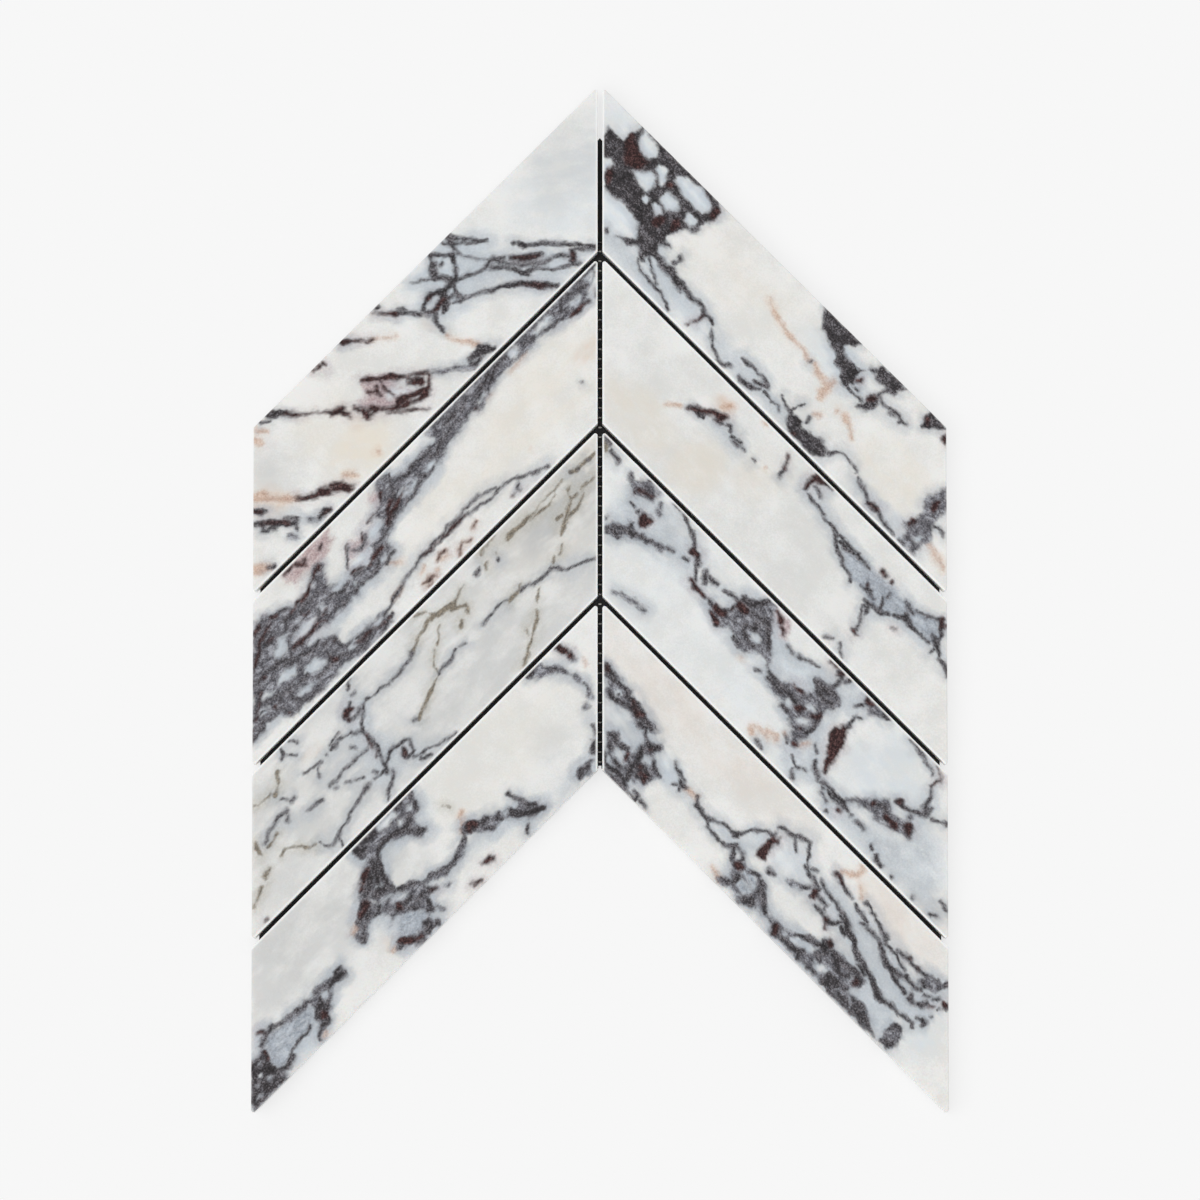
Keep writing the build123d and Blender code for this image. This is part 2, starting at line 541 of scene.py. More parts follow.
# Left strip 1: a clean bluish inner end, then a net of thin dark cracks, wine-red seams in the middle,
# and rust and black along the outer end.
lay_strip(
    "left",
    1,
    bedding=-40,
    swell=1.5,
    mist_mass=(
        (86, 2, 104, 1, 118, 12, 119, 22, 108, 25, 96, 27, 84, 33, 72, 45, 50, 48, 62, 33, 76, 24,
         84, 14),
        (140, 33, 150, 24, 157, 19, 160, 26, 166, 25, 158, 34, 146, 40, 140, 38),
    ),
    rose_mass=(
        (148, 23, 157, 18, 160, 24, 166, 25, 160, 33, 152, 36, 146, 38, 148, 30),
    ),
    fragments=(
        (146, 34, 150, 29, 153, 28, 155, 31, 151, 34.5, 147, 36),
        (93, 4, 97, 2.5, 101, 6, 102, 9, 99, 11, 95, 8.5),
        (64, 42, 69, 36.5, 75, 31.5, 78, 30, 74, 36, 68, 41),
    ),
    dark=(
        (48.5, 47.2, .7, 53, 41, .4, 58, 36, .45, 62, 31.5, .5, 66, 28.5, .55, 69.5, 25, .8,
         71.5, 22, .5),
        (78.8, 13.5, .5, 81.5, 10.5, .6, 83.5, 7.5, .5, 86, 5, .4, 88.5, 2, .7, 89.2, .5, .6),
        (82, 11, .35, 84.5, 8.8, .3, 87.5, 6, .35, 90, 4.5, .6, 92.5, 1, .4),
        (66, 33.5, .5, 69, 32, .9, 71.5, 30.5, 1.1, 73.5, 29, .8, 75.5, 27, .7, 77, 25, .5),
        (48.5, 47.5, .6, 52.5, 44.5, .5, 55, 41.5, .35),
        (56.5, 40.8, .6, 57.5, 43, .8, 58.8, 45, .7, 60, 45.8, .4),
        (59, 42, .3, 61.5, 39.5, .5, 65, 38, .4, 68, 36.5, .4, 72, 34, .5, 75, 31.5, .4, 78, 28, .4,
         81, 24, .45, 82.5, 21, .5, 84, 20.5, .6),
        (58.2, 47.6, .5, 60.5, 45.5, .35, 64, 43.5, .3, 67.5, 41.5, .35, 70.5, 38.5, .4, 73, 36, .45,
         77, 33.5, .5, 79, 31, .6, 80.5, 28, .5, 83, 24.5, .4, 86, 22, .4),
        (76.5, 35.5, .5, 78, 33.5, .7, 79.5, 30.5, .5),
        (79, 23.5, .4, 81, 22.2, .5, 83, 20.2, .5),
        (71.2, 47.5, .6, 74.5, 44, .8, 78, 40, .9, 81, 36.5, .9, 83.5, 34.5, .8, 88, 31.5, .6,
         92, 29.5, .6, 95.5, 27, .35, 98.5, 25.5, .25, 102, 24.5, .25, 105, 23.5, .25),
        (82, 20.5, .6, 84.5, 20.5, .6, 86.5, 21, .4, 89.5, 20.5, .45, 93, 19, .4, 95.5, 17.5, .5,
         98.5, 16.5, .7, 101, 15.5, 1, 104, 15.5, .9, 107, 15.8, .7, 109, 15, .6),
        (84, 19.5, .25, 86, 17, .2, 88, 14, .2, 90.5, 10.5, .2, 91, 8, .25),
        (88.8, .5, .7, 89.8, 3, .8, 91, 5, .6, 91.2, 8, .3),
        (99.8, .5, .5, 97.5, 3, .6, 95, 6, .5, 93.5, 7.8, .9, 95.3, 10.5, .35, 97, 13, .4, 99, 15, .9),
        (99.8, .8, .4, 101.5, 3.5, .4, 103, 6, .6, 104.5, 8.5, .9, 105.5, 9, .8),
        (101, 5, .6, 103.5, 5.5, .8, 105, 7.5, .8),
        (104.5, 9.5, .7, 102.5, 12, .5, 101, 14, .7),
        (105.5, 8.8, .6, 108, 7.5, .3, 111, 5.5, .2, 114, 3, .15),
        (98.5, 6.3, .4, 100, 6.8, .3),
        (101.5, 16, .7, 103, 18.5, .5, 103.8, 20.5, .6, 103, 23, .4),
        (104, 20, .4, 106, 19, .4, 108.5, 18.5, .6),
        (102, 23.5, .4, 104, 23, .5, 107, 22, .25),
        (106.5, 15.5, .8, 108.5, 17.5, 1.3, 110, 20, 1.2, 111.5, 21, 1, 113, 21.5, .6),
        (107.5, 14.8, .7, 110, 13.5, .7, 112.5, 12.5, .9, 114, 12.8, .8),
        (109, 18, .9, 112, 18.3, .6, 115.5, 18.5, .6, 118, 17.8, .7),
        (114, 13, .5, 117, 13.8, .5, 118.2, 15.5, .4, 118.5, 17.5, .5),
        (116.5, 20, .5, 117.5, 22, .6, 118.3, 24.5, .8, 118.6, 26.5, .7, 119, 28, .3),
        (120.2, 15.5, .5, 122, 13.2, .6, 124.5, 10.5, .6, 127.5, 8, .5),
        (123.5, 9.5, .4, 125.5, 7.5, .5),
        (130.5, 1, .5, 132, .8, .5),
        (151.8, .8, .7, 150, 2.4, .4),
        (108.3, 47.5, .5, 111, 45.5, 1.2, 113, 44, 1.4, 112.6, 42.8, .8),
        (113, 45, 1.3, 116, 44, .9, 118.5, 43.5, .7, 119.5, 43, .5),
        (116, 46, .6, 118.5, 47, .8, 120, 45, .5),
        (189.5, 5.2, .7, 191.5, 3.2, 1, 193.5, 1.8, 1, 196, .6, .6),
        (196.5, 2.8, .3, 199.5, 1, .4),
        (228, 25, .8, 226, 27.5, .9, 224.5, 28.8, .4),
        (231.5, 29.3, .6, 229.5, 30.5, .5, 227, 32.5, .6, 225.5, 34.5, .9, 224, 36.5, .8,
         221.5, 38.8, .6, 219.5, 40.2, .8, 218, 41, .6),
        (231, 33, .7, 230.5, 34.5, .6, 228, 35, .5, 226, 36.5, .7),
        (217.5, 40, .6, 219.5, 37.5, .5, 221.5, 36, .3),
        (229.5, 31, .5, 230.5, 33, .5),
        (219, 41.5, .5, 220.5, 43, .4),
        (205, 47.3, .7, 206.5, 46, .9, 208.5, 46.3, .6, 210.5, 46.2, .5),
        (238.3, 47.2, .6, 240.2, 45.8, .4),
    ),
    grey=(
        (120, 46.5, .4, 122.5, 44.2, .6, 125.5, 42.2, .6, 128, 41, .3, 130.5, 39.5, .4, 133.5, 37, .3),
        (212, 46.5, .25, 214, 43.5, .25),
        (224.5, 43.5, .3, 223.5, 45, .2),
    ),
    wine=(
        (57, 41.5, .5, 58.5, 44.5, .5),
        (127.5, 8, .5, 130, 5.3, .6, 132.5, 2.8, .6, 133.8, 1.2, .4),
        (135.5, 35.8, .6, 138, 33.5, .6, 140, 31.8, .5, 142.5, 30.5, .4, 145.5, 28, .8, 148.5, 25.2, 1,
         150.5, 23, .6, 152.5, 22, .5, 155, 19.5, .5, 157, 17.7, .5),
        (135.5, 36.5, .7, 137.5, 38, .6, 139.5, 39.5, .6, 142.5, 40.5, .6),
        (140, 36, .7, 141, 33.5, .7, 143.5, 31, .6),
        (142, 34, .8, 144.5, 32.3, .7),
        (141, 39.5, .5, 144.5, 38, .7, 148, 36.8, .6, 150.5, 35.5, .9, 152.5, 35.3, 1, 155, 36, .6),
        (142.5, 41.5, .5, 146, 40.8, .6, 149.5, 39, .6, 153, 37.5, .6, 156, 35.5, .8, 158.5, 33.5, .8,
         160.5, 31.5, .7, 162.5, 30, .9, 165, 28.5, 1.1, 167, 25.5, .9),
        (161, 31, .8, 164, 31, .8, 166.5, 29, .9),
        (152, 22.5, .4, 152.8, 26, .4, 152.5, 29, .5, 152.5, 32, .3),
        (155, 24, .4, 156.5, 26.5, .5, 155.5, 28.5, .4),
        (157, 25.5, .3, 159, 23, .3),
        (146, 46, .2, 148, 44.2, .5, 150.5, 42, .5, 153.5, 39.8, .4, 157, 37, .4, 160, 35, .3),
        (166, 30, 1, 166.5, 26.5, .8, 167.5, 24, .6),
        (171.2, 25.5, .3, 172.3, 23, .5, 172.8, 21, .6, 171.5, 20.8, .5),
        (171.5, 20.8, .6, 174, 19.6, .7, 176, 18.8, .7, 177, 17, .35, 179.5, 15, .3, 181.5, 12.8, .5,
         184, 11, .5, 185.5, 9.8, .3, 188, 7.5, .4, 189.5, 5.2, .6),
        (211.5, 34, .6, 208.5, 36.5, .6, 205.5, 38.5, .7, 202, 39.2, 1.2, 200.5, 40.5, 1, 198, 42, .6,
         195, 44.5, .6, 193.5, 46.5, .9, 192, 47.5, .5),
        (198, 40.5, .4, 196, 42, .5, 194, 43.5, .6),
        (193.5, 42, .4, 196, 41, .4),
        (151.8, .8, .8, 149.5, 2.8, .5, 147, 5, .4, 144.5, 7.5, .35, 142, 9, .2),
        (163.8, 1.5, .6, 163.5, 3.2, .5),
        (166, 1.5, .7, 168.5, .5, .6),
        (109, 18, .5, 115.5, 18.5, .4),
        (110, 13.8, .3, 114, 12.8, .4),
        (68, 32.5, .3, 72, 30.5, .6, 76, 26.5, .3),
        (83, 35, .3, 78, 40, .4, 73, 46, .3),
        (228, 25, .5, 226, 27.5, .6),
        (229.5, 30.5, .3, 225.5, 34.5, .6, 221.5, 38.8, .3),
        (205, 47.3, .5, 208.5, 46.3, .4),
    ),
    rust=(
        (118.5, 30, .2, 118.2, 33, .3, 116, 36.5, .2, 113.8, 38.5, .45, 112.8, 41.5, .5, 112.8, 43, .6),
        (142, 9, .1, 138, 12, .1, 134, 15, .1),
        (203.3, 1.3, .6, 202.5, 3, .5, 200.8, 5, .3),
        (206.8, 4.3, .7, 206, 5.8, .6),
        (224, 21.5, 1.2, 221, 23.5, 1.1, 219, 26, .8, 216.5, 29.5, 1, 214, 31.5, .8, 211.5, 34, .5),
        (190.5, 41, .4, 188.8, 42.5, .7, 187, 43.5, .8),
        (240, 46, .8, 242.5, 44.5, 1.2, 244.5, 43.2, 1),
        (173.5, 44, .5),
    ),
    cool=((38, 24, 30, 26, .5), (100, 12, 22, 14, .9), (70, 38, 16, 10, .6)),
    warm=((178, 38, 16, 11, .8), (182, 19, 18, 9, .4)),
    shade=((212, 17, 14, 12, .35), (30, 14, 24, 14, .4)),
    blush=((120.5, 20, 3, 4, .5), (221, 27, 7, 7, .7), (171.5, 28.5, 3, 4, .5)),
)

# Right strip 1: a heavy dark breccia by the tip and three more dark patches to the outer end,
# with creamy clean stone between them.
lay_strip(
    "right",
    1,
    grey_mass=(
        (221, 18.3, 224, 20.5, 228, 25, 227.5, 27.5, 227, 30, 227.5, 32.5, 229, 34.5, 231, 37,
         231.5, 39, 230.5, 42, 231, 46.5, 226, 47.5, 223.5, 47, 222, 44.5, 222.5, 42, 219.5, 41,
         221.5, 39, 221.5, 35, 222, 32, 219.5, 30.5, 218.3, 26, 219.5, 22.5),
    ),
    swell=1.1,
    mist_mass=(
        (52, 26, 66, 28, 70, 33, 85, 38, 100, 40, 100, 44, 80, 44, 62, 40, 50, 34),
        (40, 38, 60, 40, 85, 46, 85, 48.5, 45, 48.5),
        (100, 36, 112, 43, 120, 47, 128, 45, 118, 40, 106, 35),
        (121, 37, 150, 40, 154, 47, 125, 48.5),
        (150, 7, 165, 7, 173, 18, 160, 20),
        (182, 39, 215, 44, 218, 48, 190, 46),
    ),
    dark_mass=(
        (14, 10.5, 20, 10, 22.5, 10, 23, 5, 23.8, 2, 24, 0, 68.5, 0, 70, 1.5, 72.5, 2.5, 73, 5, 72, 9,
         71, 10, 70, 13, 71.5, 14, 70, 17, 66.5, 18, 65, 22, 63.5, 25.5, 64, 27, 68.5, 28, 65, 29,
         64, 30.5, 66, 33, 72, 34, 76, 33, 80, 34.5, 84, 35.5, 84, 38.5, 78, 37, 72, 36.5, 66, 36,
         63, 38, 65, 39.5, 62.5, 41, 60, 37.5, 57, 37.5, 55, 39.5, 49, 40.5, 53, 38, 56, 36, 54, 32.5,
         51, 30, 46, 28.8, 40, 28.3, 35, 29.3, 30, 29, 27, 26.5, 27, 20, 24, 19, 21.5, 20.5, 19, 19,
         15, 14.5),
        (152, 41.5, 156, 41, 159, 41, 161, 42.5, 166, 42, 170, 40, 172, 42, 176, 42, 177.5, 40.5,
         179, 38.5, 176, 43.5, 174.5, 46.5, 171, 48, 160, 48, 156, 47.2, 154, 45.5, 153, 43.5),
        (132, 0, 153.5, 0, 152, 2.5, 149.5, 4.5, 148.5, 6, 151, 8, 155, 8.8, 159, 8.3, 162, 7.3,
         161, 10, 162, 13, 163.5, 14.5, 161, 15.5, 162.5, 17.5, 159.5, 18.2, 156.5, 16, 154.5, 14,
         151.5, 14, 150, 11.5, 146, 10, 142, 8.5, 137, 6.5, 134, 3),
        (166, .5, 180, .2, 178.5, 3, 178, 6, 173, 6.2, 168, 6, 165.5, 4),
        (171.5, 12.5, 174, 11.2, 176, 13, 176.3, 16, 174.5, 18.5, 172, 20, 170.3, 20.3, 170.2, 19,
         172, 17.5, 171.3, 15),
        (194, 0, 203.5, .5, 201, 3, 198.5, 5.5, 195.8, 7, 195, 5, 193.8, 3.2),
    ),
    fragments=(
        (24.5, 0, 26, 4, 28, 7, 32, 8.8, 36, 8, 37.5, 5, 36, 2.5, 33, 1, 31, 0),
        (48.5, 5, 50, 7, 53, 8, 55, 8.5, 58, 9, 63, 9.2, 68, 8.8, 69.5, 6, 68.5, 3, 65, 1.2, 58, .8,
         52, 2.2, 49.5, 3.5),
        (39, 6, 44, 5.5, 47, 8, 48, 12, 46, 13, 43, 10.5, 40, 9),
        (34, 16, 37, 13, 40, 10.3, 43, 11, 45.5, 14.5, 45, 18, 41, 19, 37, 17.8),
        (50, 13, 52, 11.5, 57, 11.5, 59.5, 13.5, 58, 16.5, 56, 18.5, 53, 18, 50.5, 16.5),
        (50.5, 19, 54, 18.8, 56, 20, 54.5, 22.5, 51.5, 22, 49.5, 20.5),
        (45, 19, 48, 19.5, 48, 22, 45, 22.2),
        (64, 11.5, 68, 11, 69, 14, 68, 17, 64.5, 16, 63, 13),
        (23, 19.5, 25.5, 20, 26.8, 23, 26.5, 27, 24.5, 24),
        (226, 40, 228.5, 39, 229.5, 41, 228, 43, 226.5, 42.5),
    ),
    dark=(
        (74, 27.8, .9, 74.8, 28.8, .8),
        (74.5, 30, .4, 74, 32, .5),
        (62, 41, .4, 64, 42.5, .3, 68, 43.8, .3, 74, 44, .4, 78, 44.2, .5, 81, 45.2, .4, 84, 46, .4,
         86, 47.3, .4),
        (64, 36.5, .5, 67, 38.5, .3, 71, 41, .25, 75, 43, .35),
        (43.8, 41.5, .4, 44.6, 42.5, .4),
        (31.5, .4, .4, 40, .6, .6, 48, .8, .8, 54, .8, .6),
        (38.5, 3, .5, 44, 1.8, .8, 47.5, 3, .9, 45.5, 5, .7),
        (62.5, .5, .7, 66, 1, .9, 68, .8, .7),
        (80, 35, .6, 85, 35.8, .9, 88, 36.8, 1, 91, 36.3, .8, 95, 36, .6, 98, 37.5, .9, 101, 37.5, .8,
         103.5, 38.5, .4),
        (105, 40.5, .3, 107.5, 42.5, .4, 110, 45, .4, 113, 46.5, .5, 116, 47.3, .6, 119, 47.2, .5,
         120.8, 45.5, .5),
        (122.5, 39.5, .6, 125, 39.7, .8, 128, 39.3, .5, 131, 39.5, .3, 134, 39, .4, 136.5, 39.8, .5,
         138, 40.8, .6),
        (138, 41, .6, 136.5, 42, .7, 134.5, 42.5, .8, 133, 42.5, .6),
        (137, 43.5, .5, 134, 45, .8, 131, 46.5, .9, 128.5, 46.8, .7, 126.5, 46, .4),
        (139, 43.3, .5, 143, 43.6, .4, 147, 43.5, .3, 149, 44.5, .2),
        (145.5, 39.5, .3, 148, 40.5, .5, 151, 41, .5, 153.5, 41.5, .5),
        (152.2, 40.5, .5, 153, 37.5, .4, 154.5, 35.3, .3),
        (159.5, 37.5, .4, 160.2, 39.5, .6),
        (176, 42.5, .8, 178.5, 39.5, .5, 181, 38, .3, 184, 38.3, .25, 188, 39.3, .25, 190, 39.8, .3),
        (192, 41.2, .3, 194.5, 42.2, .4, 197, 43, .6, 200, 44.3, .6, 202.5, 45.3, .8, 205.5, 45.5, .9,
         208, 45.2, .7, 211, 46.3, .6, 215, 47.2, .5, 219, 47.6, .4),
        (163.5, 5, .5, 166, 4.2, .8),
        (175, 6, .8, 174, 8.5, .5, 173.5, 10.5, .4, 176, 11.2, .3),
        (176, 11.5, .4, 179, 11.3, .4, 182, 11, .5, 185, 10.5, .6, 188.5, 10.8, .6, 190.5, 11.2, .4),
        (182, 12.8, .4, 184.5, 11.8, .4),
        (187.5, 12.3, .4, 188.5, 11.3, .4),
        (164.5, 15.2, .4, 166, 15, .3),
        (162.5, 17.5, .5, 165, 17.5, .3, 168, 17, .4, 171, 17, .4),
        (228.5, 33.3, .5, 230.5, 32, .5, 233, 32.7, .5, 234.3, 33.5, .4),
        (222.2, 47.3, .5, 225, 47.6, .5),
        (143.6, 20.3, .5),
    ),
    wine_mass=((23, 5, 26, 6, 30, 9, 37, 9, 36, 11, 34, 15, 30, 16.5, 27, 14, 24, 11, 22.5, 9),),
    wine=(
        (71, 3, 1.2, 71.5, 6, 1),
        (62.5, 18.5, 1.5, 63, 21, 1.3),
        (49.5, 9.2, 1.2),
        (28, 23, 1.2, 30, 27, 1),
        (57.5, 22, 1.5, 56.5, 25, 1.5),
        (173, 12.5, .8, 172, 14.5, .6),
        (164, 11.5, 1.2, 163, 12.5, 1),
        (195, 3.5, .6, 196.5, 5, .5),
        (205.5, 3.5, .5, 207.5, 5.5, .3),
        (203, 45.2, .6, 207, 45.2, .6),
        (160, 47, 1),
        (223, 25, 1.2, 223.5, 28.5, 1),
        (221, 37.5, .8, 221.5, 40, .7),
        (98.5, 38.5, .6, 98, 41, .5, 97, 43.5, .35, 96, 46, .25),
    ),
    rust=(
        (113, 14, .1, 120, 17, .3, 127, 18.5, .3, 132, 19, .4, 137, 19, .3, 143, 20.3, .5),
        (145.5, 19.8, .4, 148, 21, .6, 151, 21.5, .7, 154, 22.5, .9, 156, 21.5, 1.2),
        (156.5, 19.5, .7, 156.5, 23, 1.2, 156, 26, 1, 157, 28, .5),
        (166, 27, .5),
        (169, 26.5, .4, 171.5, 27.5, .7, 174, 28.5, .5, 178, 30.5, .4),
        (160.2, 35, .5, 162, 33.5, .6),
        (233, 40, .3, 236, 41, .3, 240, 41.8, .5, 244, 43, .6),
    ),
    warm=((201, 29, 18, 12, .5), (125, 14, 16, 10, .25), (100, 18, 34, 12, .25)),
    cool=((12, 5, 12, 6, .7), (43, 35, 14, 6, .9), (80, 42, 26, 7, .8), (148, 13, 18, 8, .8)),
)

